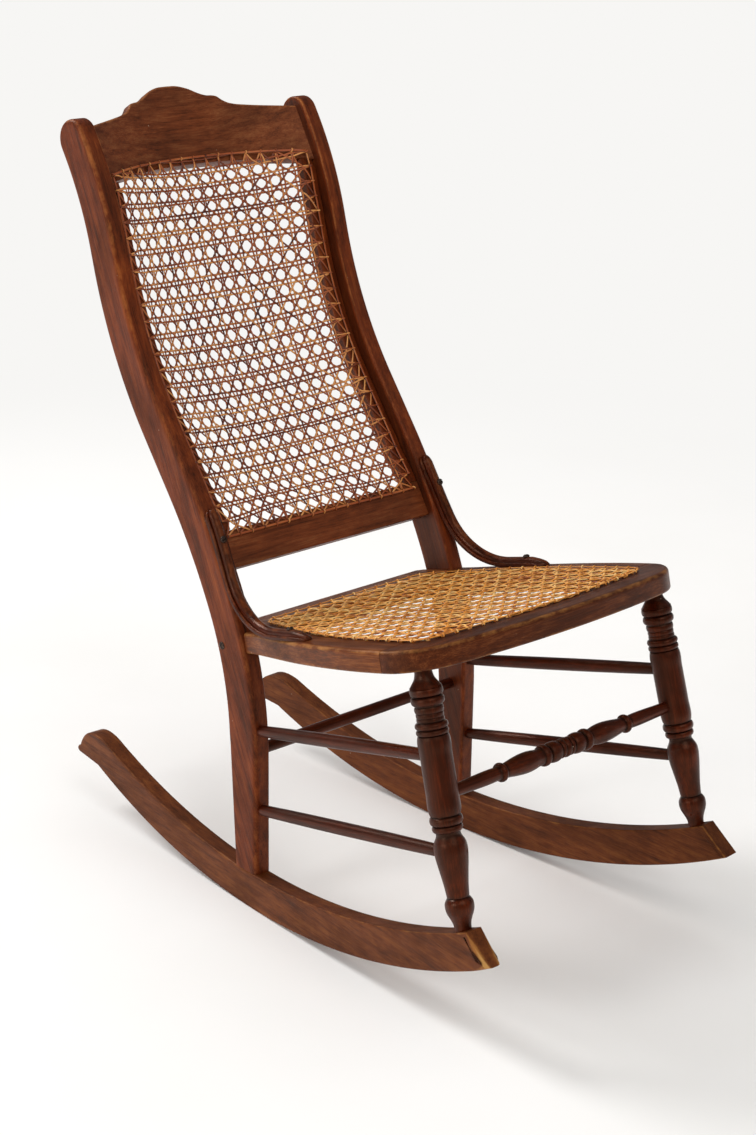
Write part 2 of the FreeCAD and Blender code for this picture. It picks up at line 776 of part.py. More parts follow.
def make_front_stretcher():
    a, b = leg_at(-1, s.front_stretcher_height), leg_at(1, s.front_stretcher_height)
    body = turned("FrontStretcher", front_stretcher_section((b - a).Length / 2))
    body.Placement = FreeCAD.Placement((a + b) / 2, FreeCAD.Rotation(V(0, 0, 1), b - a))
    return node(body, "front_stretcher")


def stretcher_section(long, thick, end, seat_a, seat_b):
    """Half section of a plain stretcher, thinner towards its shouldered ends."""
    tenon = s.stretcher_tenon / 2
    fade = thick + 4
    return chain([(0, 0), (tenon, 0), (tenon, seat_a), (end, seat_a), (thick, seat_a + fade),
                  (thick, long - seat_b - fade), (end, long - seat_b), (tenon, long - seat_b),
                  (tenon, long), (0, long), (0, 0)])


def side_stretcher_line(side, post_height, leg_height):
    depth = 14.0
    a = post_at(side, post_height, depth)
    b = leg_at(side, leg_height)
    along_it = unit(a, b)
    return a, b + along_it * 6, depth + 4


def make_side_stretcher(label, side, which, post_height, leg_height):
    a, b, seat = side_stretcher_line(side, post_height, leg_height)
    section = stretcher_section((b - a).Length, s.side_stretcher / 2, s.side_stretcher_end / 2,
                                seat, s.leg_blank / 2 + 6.5)
    body = turned(f"Side_{which}_{label}", section)
    body.Placement = FreeCAD.Placement(a, FreeCAD.Rotation(V(0, 0, 1), b - a))
    return node(body, f"side_stretcher_{which}_{label}")


def rear_stretcher_line():
    a = post_at(-1, s.rear_stretcher_height, 24.0)
    a.x = -(POST_INNER + 12)
    return a, V(-a.x, a.y, a.z)


def make_rear_stretcher():
    a, b = rear_stretcher_line()
    section = stretcher_section((b - a).Length, s.rear_stretcher / 2, s.rear_stretcher / 2 - 0.6, 12.2, 12.2)
    body = turned("RearStretcher", section)
    body.Placement = FreeCAD.Placement(a, FreeCAD.Rotation(V(0, 0, 1), b - a))
    return node(body, "rear_stretcher")


# Hip bracket: a strip bent from the post's front face down on to the seat.

def bracket_path():
    """Points down the strip's back face, with the strip's lean: along the post, straight on down,
    round one bend until it lies on the seat, and forward to its end."""
    start, leave = back_where(s.bracket_top), back_where(s.bracket_leave)
    slope, gap, r = math.radians(s.seat_slope), s.fit_gap, s.bracket_curve
    path = []
    for i in range(4):
        dist = start + (leave - start) * i / 3
        path.append((*back_at(dist, -gap), back_lean(dist)))
    y0, z0, lean = path[-1]
    flat = math.pi / 2 + slope
    bend_y, bend_z = r * (math.cos(flat) - math.cos(lean)), r * (math.sin(flat) - math.sin(lean))
    above = z0 - bend_z - s.seat_height - gap + (y0 + bend_y) * math.tan(slope)
    run = above / (math.cos(lean) + math.sin(lean) * math.tan(slope))
    y1, z1 = y0 - run * math.sin(lean), z0 - run * math.cos(lean)
    for i in range(9):
        now = lean + (flat - lean) * i / 8
        path.append((y1 + r * (math.cos(now) - math.cos(lean)), z1 - r * (math.sin(now) - math.sin(lean)), now))
    y, z, now = path[-1]
    end = -s.bracket_reach
    for far in ((y + end + s.bracket_nib) / 2, end + s.bracket_nib, end):
        path.append((far, z - (far - y) * math.tan(slope), now))
    return path


def make_bracket(label, side):
    path = bracket_path()
    total = [0.0]
    for a, b in zip(path, path[1:]):
        total.append(total[-1] + math.hypot(a[0] - b[0], a[1] - b[1]))
    rings = []
    for (y, z, lean), dist in zip(path, total):
        share = dist / total[-1]
        sway = s.bracket_swing * share * share * (3 - 2 * share)
        wide, thick = s.bracket_width / 2, s.bracket_thick
        from_end = min(dist, total[-1] - dist)
        if from_end < 1:
            wide, thick = 0.22 * wide, 0.4 * thick
        x = side * (POST_X + sway)
        out = (-math.cos(lean), math.sin(lean))
        section = [(-1, 0), (-1, 0.28), (-0.74, 0.36), (-0.62, 0.80), (-0.25, 1.0), (0.25, 1.0),
                   (0.62, 0.80), (0.74, 0.36), (1, 0.28), (1, 0)]
        ring = [V(x + u * wide, y + out[0] * t * thick, z + out[1] * t * thick) for u, t in section]
        rings.append(Part.makePolygon(ring + ring[:1]))
    strip_shape = Part.makeLoft(rings, True, True)
    blank = doc.addObject("Part::Feature", "Bracket_" + label)
    blank.Shape = strip_shape
    return node(blank, "hip_bracket_" + label)


def set_at_rest():
    """Rolls the whole chair on its rockers until its weight is over the line it rests on."""
    doc.recompute()
    total, moment = 0.0, V(0, 0, 0)
    for obj in NODES:
        for solid in obj.Shape.Solids:
            total += solid.Volume
            moment += solid.CenterOfMass * solid.Volume
    middle = moment / total
    roll = math.degrees(math.atan2(middle.y, s.rocker_curve - middle.z))
    turn = FreeCAD.Placement(V(0, 0, 0), FreeCAD.Rotation(V(1, 0, 0), -roll), V(0, 0, s.rocker_curve))
    reach = [turn.multVec(point).y for obj in NODES if obj.Label in ("rocker_right", "crest_rail")
             for edge in obj.Shape.Edges for point in edge.discretize(33)]
    shift = -(min(reach) + max(reach)) / 2
    rest = FreeCAD.Placement(V(0, shift, 0), FreeCAD.Rotation()).multiply(turn)
    for obj in NODES:
        obj.Placement = rest.multiply(obj.Placement)
    print("rolled", round(roll, 4), "degrees, resting on the line Y =", round(shift, 4))


def check():
    doc.recompute()
    for obj in doc.Objects:
        if "Invalid" in obj.State or "Error" in obj.State:
            raise RuntimeError(f"{obj.Name} failed: {obj.State}")
    for obj in NODES:
        if obj.Shape.isNull() or not obj.Shape.isValid() or not obj.Shape.Solids:
            raise RuntimeError(f"{obj.Label} has no valid solid")


def build():
    gap = s.fit_gap
    post_holes = {side: [] for side in SIDES}
    leg_holes = {side: [] for side in SIDES}
    rocker_holes = {side: [] for side in SIDES}
    front_holes = []
    for label, side in SIDES.items():
        top, foot = leg_line(side)
        down = unit(top, foot)
        front_holes.append(cylinder_cut("LegTop_" + label, top + down * 2, top - down * (s.leg_top_tenon_long + 0.5),
                                        "Sizes.leg_top_tenon / 2"))
        rocker_holes[label] += [
            cylinder_cut("LegFoot_" + label, foot - down * 12, foot + down * (s.leg_foot_seat + gap), "Sizes.leg_foot / 2"),
            cylinder_cut("LegPin_" + label, foot - down * 2, foot + down * (s.leg_foot_tenon_long + 0.5),
                         "Sizes.leg_foot_tenon / 2"),
        ]
        for which, post_h, leg_h in (("upper", s.side_upper_post, s.side_upper_leg),
                                     ("lower", s.side_lower_post, s.side_lower_leg)):
            a, b, seat = side_stretcher_line(side, post_h, leg_h)
            d = unit(a, b)
            post_holes[label].append(cylinder_cut(f"PostHole_{which}_{label}", a - d * 0.5, a + d * 60,
                                                  "Sizes.stretcher_tenon / 2"))
            leg_holes[label].append(cylinder_cut(f"LegHole_{which}_{label}", b - d * 60, b + d * 0.5,
                                                 "Sizes.stretcher_tenon / 2"))
            make_side_stretcher(label, side, which, post_h, leg_h)
        a, b = leg_at(-side, s.front_stretcher_height), leg_at(side, s.front_stretcher_height)
        d = unit(a, b)
        leg_holes[label].append(cylinder_cut("FrontHole_" + label, b - d * 40, b + d * 4.5, "Sizes.stretcher_tenon / 2"))
        a, b = rear_stretcher_line()
        end = b if side > 0 else a
        inward = V(-side, 0, 0)
        post_holes[label].append(cylinder_cut("RearHole_" + label, end - inward * 0.5, end + inward * 30,
                                              "Sizes.stretcher_tenon / 2"))

    # The seat frame is parted into four rails with a fine joint line between them.
    blank = seat_blank()
    wide, joint, half_gap = 2 * s.post_outer, -s.seat_joint, gap / 2
    part_x = POST_INNER - s.seat_rear_arm - 4
    front = doc.addObject("Part::Common", "FrontRailBoard")
    front.Base, front.Tool = blank, box_on_seat("FrontPart", -wide, wide, joint - wide, joint - half_gap)
    node(less("FrontRailCut", front, front_holes), "seat_front_rail")
    rear = doc.addObject("Part::Common", "RearRailBoard")
    rear.Base, rear.Tool = blank, box_on_seat("RearPart", -part_x + half_gap, part_x - half_gap, 0, wide)
    node(rear, "seat_rear_rail")
    for label, side in SIDES.items():
        near, far = sorted((side * (part_x + half_gap), side * wide))
        board = doc.addObject("Part::Common", "SideRailBoard_" + label)
        board.Base, board.Tool = blank, box_on_seat("SidePart_" + label, near, far, joint + half_gap, wide)
        node(board, "seat_side_rail_" + label)
        make_rocker(label, side, rocker_holes[label])
        make_post(label, side, post_holes[label])
        make_stile(label, side)
        make_leg(label, side, leg_holes[label])
        make_bracket(label, side)
    make_crest()
    make_lower_rail()
    make_front_stretcher()
    make_rear_stretcher()
    make_back_cane()
    make_back_binding()
    make_seat_cane()
    make_seat_binding()


build()
set_at_rest()
check()
os.makedirs("parts", exist_ok=True)
for obj in NODES:
    obj.Shape.exportStep(f"parts/{obj.Label}.step")
print(len(NODES), "nodes")
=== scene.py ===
from functools import partial
from math import ceil, cos, floor, pi, radians, sin, tan

import bpy
import numpy as np
from mathutils import Matrix


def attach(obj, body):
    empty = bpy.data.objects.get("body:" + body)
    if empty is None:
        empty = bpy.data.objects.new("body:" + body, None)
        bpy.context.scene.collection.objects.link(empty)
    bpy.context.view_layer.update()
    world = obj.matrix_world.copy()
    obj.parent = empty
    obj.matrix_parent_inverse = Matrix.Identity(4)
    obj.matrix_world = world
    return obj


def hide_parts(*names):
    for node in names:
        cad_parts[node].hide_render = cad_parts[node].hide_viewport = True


# Rocking chair of turned and sawn hardwood with a hand-caned seat and back. Every shape is worked out
# in millimetres with the rockers' centre over y = 0 and the floor at z = 0; at_rest() then rolls it to
# the way the chair stands and turns it to metres.

join = np.concatenate

ROLL = radians(1.4483)
REST_LINE = 14.0689
ROCKER_CURVE = 860.0
RIGHT, LEFT = -1, 1
SIDES = (("right", RIGHT), ("left", LEFT))


def turned(a, b, angle):
    """A pair of coordinates turned by an angle: a cos + b sin, and b cos - a sin."""
    return a * np.cos(angle) + b * np.sin(angle), b * np.cos(angle) - a * np.sin(angle)


def unit(v):
    """Vectors divided by their length, or as they are where that is nothing."""
    length = np.linalg.norm(v, axis=-1, keepdims=True)
    return v / np.where(length > 0, length, 1)


def at_rest(points):
    """Turns points about the rockers' centre line by the roll and moves them to the line they rest on, in
    metres."""
    x, y, z = np.moveaxis(np.asarray(points, float), -1, 0)
    y, z = turned(y, z - ROCKER_CURVE, ROLL)
    return run(x, y + REST_LINE, z + ROCKER_CURVE) / 1000


def seeded(number):
    """Random numbers of a fixed series of its own."""
    return np.random.default_rng(number)


def smooth(x):
    """Rises from 0 to 1 as three x squared less two x cubed."""
    x = np.clip(x, 0, 1)
    return x * x * (3 - 2 * x)


# Meshes

def finish_mesh(node, verts, faces, material, fields, sharp=40.0, replaces=True):
    """Makes the object from points in the drawing frame, with its point fields, and turns its faces over
    where its volume, summed over its triangles, is negative. It replaces the node that it is named for."""
    name = node + "_look" if replaces else node
    verts = np.asarray(verts, float)
    tris = np.array([(f[0], f[i], f[i + 1]) for f in faces for i in range(1, len(f) - 1)])
    a, b, c = verts[tris[:, 0]], verts[tris[:, 1]], verts[tris[:, 2]]
    if np.einsum("ij,ij->i", a, np.cross(b, c)).sum() < 0:
        faces = [tuple(f[::-1]) for f in faces]
    mesh = bpy.data.meshes.new(name)
    mesh.from_pydata(at_rest(verts).tolist(), [], faces)
    mesh.polygons.foreach_set("use_smooth", np.ones(len(mesh.polygons), bool))
    mesh.set_sharp_from_angle(angle=radians(sharp))
    for field, values in fields.items():
        values = np.asarray(values, np.float32)
        vector = values.ndim == 2
        store = mesh.attributes.new(field, "FLOAT_VECTOR" if vector else "FLOAT", "POINT")
        store.data.foreach_set("vector" if vector else "value", values.ravel())
    mesh.materials.append(material)
    mesh.update()
    obj = bpy.data.objects.new(name, mesh)
    bpy.context.scene.collection.objects.link(obj)
    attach(obj, "root")
    if replaces:
        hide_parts(node)


def ring_faces(stations, around, first=0):
    """Quads between rings of points that follow each other along a path."""
    i, j = np.meshgrid(np.arange(stations - 1), np.arange(around), indexing="ij")
    n = (j + 1) % around
    here, there = i * around + first, (i + 1) * around + first
    return run(here + j, here + n, there + n, there + j).reshape(-1, 4).tolist()


def tube(rings):
    """A closed skin over rings (stations, around, 3): its points and faces, the ends shut by flat caps."""
    stations, around = rings.shape[:2]
    caps = [list(range(around))[::-1], list(range((stations - 1) * around, stations * around))]
    return rings.reshape(-1, 3), ring_faces(stations, around) + caps


def along_grain(points, direction, number, wear_dirt_and_shade):
    """Point fields of a wooden piece: how worn it is, or below zero how dark (groove polish, or painted
    shade), and coordinates in metres with z along the grain, moved to a place of their own in the wood's
    figure."""
    g = unit(direction)
    side = unit(np.cross(g, (0.31, 0.2, 0.9)))
    basis = run(side, np.cross(g, side), g)
    return {"grain": (np.asarray(points) @ basis) / 1000 + seeded(number).uniform(-3, 3, 3), "wear_dirt_and_shade": wear_dirt_and_shade}


def run(*columns):
    """Points from their coordinates, any of which may be one number for all."""
    return np.stack(np.broadcast_arrays(*columns), -1)


def travelled(points):
    """Distance gone at each point of an open run."""
    return join([[0], np.cumsum(np.linalg.norm(np.diff(points, axis=0), axis=1))])


def resample(points, step=None, count=None):
    """Points at even spacing along an open run: about a step apart, or a given number of them."""
    points = np.asarray(points, float)
    far = travelled(points)
    return follow(points, far, np.linspace(0, far[-1], count or max(int(far[-1] / step), 2) + 1))


def follow(points, far, at):
    """The points that lie at given distances along a run."""
    return np.stack([np.interp(at, far, column) for column in points.T], -1)


# Curve of the back posts: the lean changes evenly along each arc, so places come from adding up
# the sine and cosine of the lean.

LEANS = np.radians([-1.3, 24.0, 35.5, 14.0, 31.0])
ARCS = [419.0, 747.0, 502.0, 421.0]
STRAIGHTS = [145.0, 0.0, 74.0, 15.5, 12.0]
POST_OUTER, POST_THICK, POST_DEPTH, POST_FOOT = 177.0, 21.5, 46.0, 10.0
POST_X = POST_OUTER - POST_THICK / 2
POST_INNER = POST_OUTER - POST_THICK
ROCKER_HIGH, ROCKER_HALF, SPLAY = 45.0, 11.0, radians(3.3)
REACH, TAIL, NOSE = 390.0, 66.0, 34.0


def rocker_edge(y, lift=0.0):
    """Height at y of the rocker's lower arc, or of that arc lifted: R less the root of R squared less y
    squared."""
    return lift + ROCKER_CURVE - np.sqrt(ROCKER_CURVE ** 2 - np.asarray(y, float) ** 2)


def back_tables():
    """Distance, y, z and lean of the posts' front edge, every half millimetre."""
    far, lean = [0.0], [LEANS[0]]
    for i, straight in enumerate(STRAIGHTS):
        far.append(far[-1] + straight)
        lean.append(LEANS[i])
        if i < len(ARCS):
            far.append(far[-1] + ARCS[i] * abs(LEANS[i + 1] - LEANS[i]))
            lean.append(LEANS[i + 1])
    at = np.arange(-20, far[-1] + 60, 0.5)
    now = np.interp(at, far, lean)
    y, z = (join([[0], np.cumsum((wave[1:] + wave[:-1]) / 4)]) for wave in (np.sin(now), np.cos(now)))
    y += POST_FOOT - np.interp(0, at, y)
    z += rocker_edge(POST_FOOT, ROCKER_HIGH) - np.interp(0, at, z)
    return at, y, z, now, far[-1]


BACK_AT, BACK_Y, BACK_Z, BACK_LEAN, BACK_END = back_tables()


def back_lean(dist):
    """Lean from the upright at a distance up the posts' front edge."""
    return np.interp(dist, BACK_AT, BACK_LEAN)


def back(dist, off=0.0):
    """(y, z) at a distance up the posts' front edge, set back square to it by off."""
    y, z = turned(off, 0.0, back_lean(dist))
    return run(np.interp(dist, BACK_AT, BACK_Y) + y, np.interp(dist, BACK_AT, BACK_Z) + z)


def back_where(height, off=0.0):
    """Distance up the posts' front edge at which a line set back by off reaches a height."""
    return float(np.interp(height, back(BACK_AT, off)[:, 1], BACK_AT))


CANE_BACK = 13.0
LOWER_RAIL, STILE_HALF = 43.5, 9.5
STILE_LOW = back_where(397.7 + LOWER_RAIL * cos(radians(25)), CANE_BACK)
CREST_AT = back_where(815.0, CANE_BACK)

# Seat: plan arcs in the seat's own plane, which slopes down to the rear.

SEAT_HEIGHT, SEAT_SLOPE, SEAT_THICK = 344.8, radians(13.1), 24.0
SEAT_FRONT, SEAT_REAR, FRAME_WIDE, CANE_INSET = 325.5, 88.0, 50.0, 38.0
JOINT_Y, JOINT_GAP, REAR_PART = -243.0, 0.3, 117.5
ARC_FRONT, ARC_CORNER, ARC_SIDE = 935.0, 66.0, 667.0
TURN_FRONT, TURN_CORNER, TURN_SIDE = np.radians([9.85, 87.0, 103.5])


def on_seat(x, y, z=0.0):
    """A point of the seat's own plane, turned down to the rear by its slope and lifted to its height."""
    y, z = turned(y, z, SEAT_SLOPE)
    return run(x, y, z + SEAT_HEIGHT)


def seat_plan(turn, inset):
    """Right to left round the front: a wide arc, a corner arc and a side arc, each moved in by inset. The
    front corners are then drawn in and back a little, as the chair's own are."""
    a = np.abs(np.asarray(turn, float))
    swing = lambda c, r, t: c + r * run(np.sin(t), -np.cos(t))
    c1 = np.array([0.0, ARC_FRONT - SEAT_FRONT])
    c2 = swing(c1, ARC_FRONT - ARC_CORNER, TURN_FRONT)
    c3 = swing(c2, ARC_CORNER - ARC_SIDE, TURN_CORNER)
    a3 = a[..., None]
    p = np.where(a3 <= TURN_CORNER, swing(c2, ARC_CORNER - inset, a), swing(c3, ARC_SIDE - inset, a))
    p = np.where(a3 <= TURN_FRONT, swing(c1, ARC_FRONT - inset, a), p)
    p[..., 0] *= 1 - 0.016 * smooth((-120 - p[..., 1]) / 90)
    p[..., 1] += 9.0 * smooth((-235 - p[..., 1]) / 70)
    return p * run(np.where(np.asarray(turn) < 0, -1.0, 1.0), np.ones(a.shape))


def seat_turn_at(y, inset):
    """The turn at which the plan line, moved in by inset, crosses a given y."""
    turns = np.linspace(0, TURN_SIDE, 4000)
    return float(np.interp(y, seat_plan(turns, inset)[:, 1], turns))


# Sawn boards: a closed outline with a flat face on each side and rounded arrises between.

def inward(outline):
    """Mitred inward direction at each point of a closed outline that runs either way round."""
    ahead = unit(np.roll(outline, -1, 0) - outline)
    behind = np.roll(ahead, 1, 0)
    area = (outline[:, 0] * np.roll(outline[:, 1], -1) - outline[:, 1] * np.roll(outline[:, 0], -1)).sum()
    n = unit(run(-ahead[:, 1] - behind[:, 1], ahead[:, 0] + behind[:, 0])) * np.sign(area)
    spread = np.clip(np.abs(np.einsum("ij,ij->i", n, run(-ahead[:, 1], ahead[:, 0]))), 0.5, 1)
    return n / spread[:, None]


def board(outline, half, arris, worn, cuts=(), painted_shade=(0.0, 0.0)):
    """Loops from one flat face over a quarter-round arris, the edge and the other arris to the other face;
    the flat faces are rungs from each point to the one across, the outline's first half against its second.
    Arris sizes may differ on the two faces. At a sawn end (cuts: point, neighbour) the section stays whole.
    A value below zero for a face paints shade on its flat part, as for a face that lies in shadow. Gives the
    points in the outline's plane with the depth last, the faces, and how worn or painted-shaded each point
    is."""
    outline, n = np.asarray(outline, float), len(outline)
    arris, worn = np.broadcast_to(arris, (2, n)).astype(float), np.broadcast_to(worn, n).astype(float)
    into = inward(outline)
    for i, j in cuts:
        into[i] = unit(outline[j] - outline[i])
    loops, wear_dirt_and_shade = [], []
    for turn, r, shade_amount in zip((-1, 1), arris, painted_shade):
        # The flat face's loop carries the face's painted shade: below zero darkens it as if in shadow.
        side = [(r + 3.0, np.full(n, half), 0 * worn + shade_amount)]
        for t in np.linspace(0, pi / 2, 5):
            amount = worn * (0.3 + 0.7 * sin(2 * t))
            side.append((r * (1 - sin(t)), half - r * (1 - cos(t)), amount))
        side.append((r * 0, half - r - 2.0, 0.1 * worn))
        for move, depth, w in side[::-turn]:
            loops.append(join([outline + into * move[:, None], (turn * depth)[:, None]], 1))
            wear_dirt_and_shade.append(w)
    rungs = np.arange(n // 2 - 1)
    rungs = run(rungs, rungs + 1, n - 2 - rungs, n - 1 - rungs)
    faces = ring_faces(len(loops), n) + rungs[:, ::-1].tolist() + (rungs + (len(loops) - 1) * n).tolist()
    return join(loops), faces, join(wear_dirt_and_shade)


def sawn(node, outline, half, arris, worn, place, grain, number, material, cuts=(), painted_shade=(0.0, 0.0)):
    """A board set in place by a function from plane coordinates and depth to the drawing frame."""
    flat, faces, wear_dirt_and_shade = board(outline, half, arris, worn, cuts, painted_shade)
    verts = place(flat)
    finish_mesh(node, verts, faces, material, along_grain(verts, grain, number, wear_dirt_and_shade))


# Turnings: a radius for each distance along an axis, carried round it.

def flow(*points, step=1.3):
    """Smooth line through (distance, radius) points: cubic pieces whose slopes come from the neighbours."""
    p = np.array(points, float)
    slope = np.gradient(p[:, 1], p[:, 0])
    at = join([np.linspace(a, b, max(int((b - a) / step), 2), endpoint=False)
               for a, b in zip(p[:-1, 0], p[1:, 0])] + [p[-1:, 0]])
    i = np.clip(np.searchsorted(p[:, 0], at, side="right") - 1, 0, len(p) - 2)
    h = p[i + 1, 0] - p[i, 0]
    t = (at - p[i, 0]) / h
    r = ((2 * t ** 3 - 3 * t ** 2 + 1) * p[i, 1] + (t ** 3 - 2 * t ** 2 + t) * h * slope[i]
         + (3 * t ** 2 - 2 * t ** 3) * p[i + 1, 1] + (t ** 3 - t ** 2) * h * slope[i + 1])
    return run(at, r)


def ring_of(a, b, foot, crown, count=9):
    """A half-round ring between two distances: half an ellipse on a foot radius."""
    t = np.linspace(0, pi, count)
    return run((a + b) / 2 - (b - a) / 2 * np.cos(t), foot + (crown - foot) * np.sin(t))


def turning(node, profile, start, end, number, around=56):
    """Each ring is the axis point plus radius times cosine and sine of the angle round the axis. Wear is how
    far the radius stands above its mean over 12 mm, dirt how far it lies below."""
    axis = unit(end - start)
    side = unit(np.cross(axis, (0.0, 1.0, 0.2)))
    angle = np.linspace(0, 2 * pi, around, endpoint=False)
    at, radius = profile.T
    ring = np.cos(angle)[:, None] * side + np.sin(angle)[:, None] * np.cross(axis, side)
    verts, faces = tube(start + at[:, None, None] * axis + radius[:, None, None] * ring)
    level = np.interp(at[:, None] + np.linspace(-6, 6, 13), at, radius).mean(1)
    wear_dirt_and_shade = np.repeat(np.clip((radius - level) / 1.3, -1, 0.3), around)
    finish_mesh(node, verts, faces, TURNED_WOOD, along_grain(verts, axis, number, wear_dirt_and_shade))


# Colours and materials

# The second colour is both old polish in grooves and the painted shade of faces that sit in shadow.
BARE_WOOD, GROOVE_POLISH_AND_SHADE, DUST = "#B98A4E", "#120806", "#B8A48E"
AMBER = (1.0, 0.55, 0.36, 1.0)                       # tint of the old shellac's shine
BACKDROP = "#F7F6F4"


def srgb(code):
    """Linear colour of a written one."""
    c = np.array([int(code[i:i + 2], 16) for i in (1, 3, 5)]) / 255
    return (*np.where(c <= 0.04045, c / 12.92, ((c + 0.055) / 1.055) ** 2.4), 1.0)


def add(tree, kind, *inputs, stops=(), **named):
    """Adds a node and gives its outputs. The first inputs come in order and others by identifier: each is a
    socket to link, a plain value or a written colour. Names in small letters are the node's properties, and
    stops are a colour ramp's pairs of a place and a grey or written colour."""
    n = tree.nodes.new("ShaderNode" + kind)
    for key in [key for key in named if key.islower()]:
        setattr(n, key, named.pop(key))
    sockets = {socket.identifier.replace(" ", "_"): socket for socket in n.inputs}
    for socket, value in [*zip(n.inputs, inputs), *((sockets[key], value) for key, value in named.items())]:
        if isinstance(value, bpy.types.NodeSocket):
            tree.links.new(value, socket)
        else:
            socket.default_value = srgb(value) if isinstance(value, str) else value
    if stops:
        line = n.color_ramp.elements
        while len(line) < len(stops):
            line.new(0.5)
        for element, (at, colour) in zip(line, stops):
            element.position = at
            element.color = srgb(colour) if isinstance(colour, str) else (colour, colour, colour, 1)
    return n.outputs


def empty_tree(data):
    """Clears a new material's or world's nodes, and gives the function that adds to them."""
    data.use_nodes = True
    data.node_tree.nodes.clear()
    return partial(add, data.node_tree)


def hardwood(name, dark, middle, light, worn, gloss):
    """Walnut-like hardwood under old dark stain and shellac: long fine figure along the grain, short
    dark pores, arrises rubbed back to orange-brown, darker polish in the grooves and painted shade on faces
    that sit in shadow, dull dusty patches."""
    material = bpy.data.materials.new(name)
    node = empty_tree(material)
    place = node("Attribute", attribute_name="grain")["Vector"]
    wear_dirt_and_shade = node("Attribute", attribute_name="wear_dirt_and_shade")["Fac"]
    figure, fibre, pores, patch, mottle = (
        node("TexNoise", node("Mapping", place, Scale=(1 / across, 1 / across, 1 / along))[0],
             Scale=1.0, Detail=detail, Roughness=rough)["Fac"] for across, along, detail, rough in (
            (0.007, 0.11, 5.0, 0.6),                     # bands about 7 mm wide, 110 mm long
            (0.0011, 0.035, 3.0, 0.6),                   # fibres about 1 mm wide, 35 mm long
            (0.0007, 0.0075, 1.0, 0.6),                  # open pores, drawn 0.7 mm wide to show
            (0.045, 0.09, 4.0, 0.6),                     # thick polish in patches, 45 mm by 90 mm
            (0.013, 0.022, 6.0, 0.75)))                  # mottled wear, 13 mm by 22 mm
    blend = node("Math", figure, 0.45, operation="MULTIPLY")[0]
    for part, share in ((fibre, 0.35), (mottle, 0.2)):
        blend = node("Math", part, share, blend, operation="MULTIPLY_ADD")[0]
    pore = node("ValToRGB", pores, stops=((0.62, 0.0), (0.72, 1.0)))[0]
    filled = node("Math", pore, 0.45, operation="MULTIPLY")[0]
    thick = node("ValToRGB", patch, stops=((0.42, 0.0), (0.72, 0.55)))[0]
    uneven = node("Math", mottle, 2.2, -0.62, operation="MULTIPLY_ADD")[0]
    rub, most, least = (node("Math", wear_dirt_and_shade, by, operation="MULTIPLY")[0] for by in (uneven, 0.4, -1.0))
    rubbed = node("ValToRGB", rub, stops=((0.2, 0.0), (0.7, 0.7)))[0]
    bare = node("ValToRGB", most, stops=((0.56, 0.0), (0.72, 0.85)))[0]
    # Wear below zero mixes in near black: old polish in the grooves, and painted shade on shadowed faces.
    groove_polish_and_shade = node("ValToRGB", least, stops=((0.05, 0.0), (0.8, 0.75)))[0]
    flecks = node("TexVoronoi", place, feature="F1", Scale=95.0, Randomness=1.0)
    spot = node("ValToRGB", flecks["Distance"], stops=((0.035, 1.0), (0.075, 0.0)))[0]
    pick = node("SeparateColor", flecks["Color"])[0]
    picked = node("ValToRGB", pick, stops=((0.93, 0.0), (0.95, 0.8)))[0]
    speck = node("Math", spot, picked, operation="MULTIPLY")[0]
    colour = node("ValToRGB", blend, stops=((0.34, dark), (0.50, middle), (0.68, light)))[0]
    for share, over in ((filled, dark), (thick, dark), (rubbed, worn), (bare, BARE_WOOD),
                        (groove_polish_and_shade, GROOVE_POLISH_AND_SHADE), (speck, DUST)):
        colour = node("Mix", share, data_type="RGBA", A_Color=colour, B_Color=over)[2]
    rough = node("MapRange", patch, 0.3, 0.7, gloss, gloss + 0.2)[0]
    relief = node("Math", pore, -0.6, fibre, operation="MULTIPLY_ADD")[0]
    bump = node("Bump", Height=relief, Strength=0.35, Distance=0.0004)[0]
    node("OutputMaterial", node("BsdfPrincipled", Base_Color=colour, Roughness=rough, Normal=bump, IOR=1.45,
                                Specular_IOR_Level=0.42, Specular_Tint=AMBER)[0])
    return material


def rattan(name, dark, middle, light, shade):
    """Split rattan cane, varnished: each strand its own tone, fine lines and longer blotches along it, and a
    painted shade darkening it towards its edges. The lay field holds the place across (-1 to 1), along (mm)
    and the tone."""
    material = bpy.data.materials.new(name)
    node = empty_tree(material)
    lay = node("Attribute", attribute_name="lay")["Vector"]
    across, _, strand = node("SeparateXYZ", lay)
    lines, blotch = (
        node("TexNoise", node("Mapping", lay, Scale=scale)[0], Scale=1.0, Detail=detail)["Fac"]
        for scale, detail in (((3.0, 1 / 20, 40.0), 3.0),        # lines about 0.5 mm wide, 20 mm long
                              ((0.1, 1 / 50, 70.0), 2.0)))       # blotches wider than a strand, 50 mm long
    tone = node("Math", lines, 0.3, operation="MULTIPLY")[0]
    for part in (blotch, strand):
        tone = node("Math", part, 0.35, tone, operation="MULTIPLY_ADD")[0]
    colour = node("ValToRGB", tone, stops=((0.28, dark), (0.48, middle), (0.72, light)))[0]
    # Painted shade: each strand darkens towards its edges, standing for the shadow where its dome turns
    # away.
    aside = node("Math", across, operation="ABSOLUTE")[0]
    edge = node("ValToRGB", aside, stops=((0.55, 0.0), (1.0, 0.8)))[0]
    colour = node("Mix", edge, data_type="RGBA", A_Color=colour, B_Color=shade)[2]
    rough = node("ValToRGB", lines, stops=((0.3, 0.34), (0.7, 0.5)))[0]
    bump = node("Bump", Height=lines, Strength=0.3, Distance=0.0003)[0]
    shader = node("BsdfPrincipled", Base_Color=colour, Roughness=rough, Normal=bump, IOR=1.5)[0]
    node("OutputMaterial", shader)
    return material


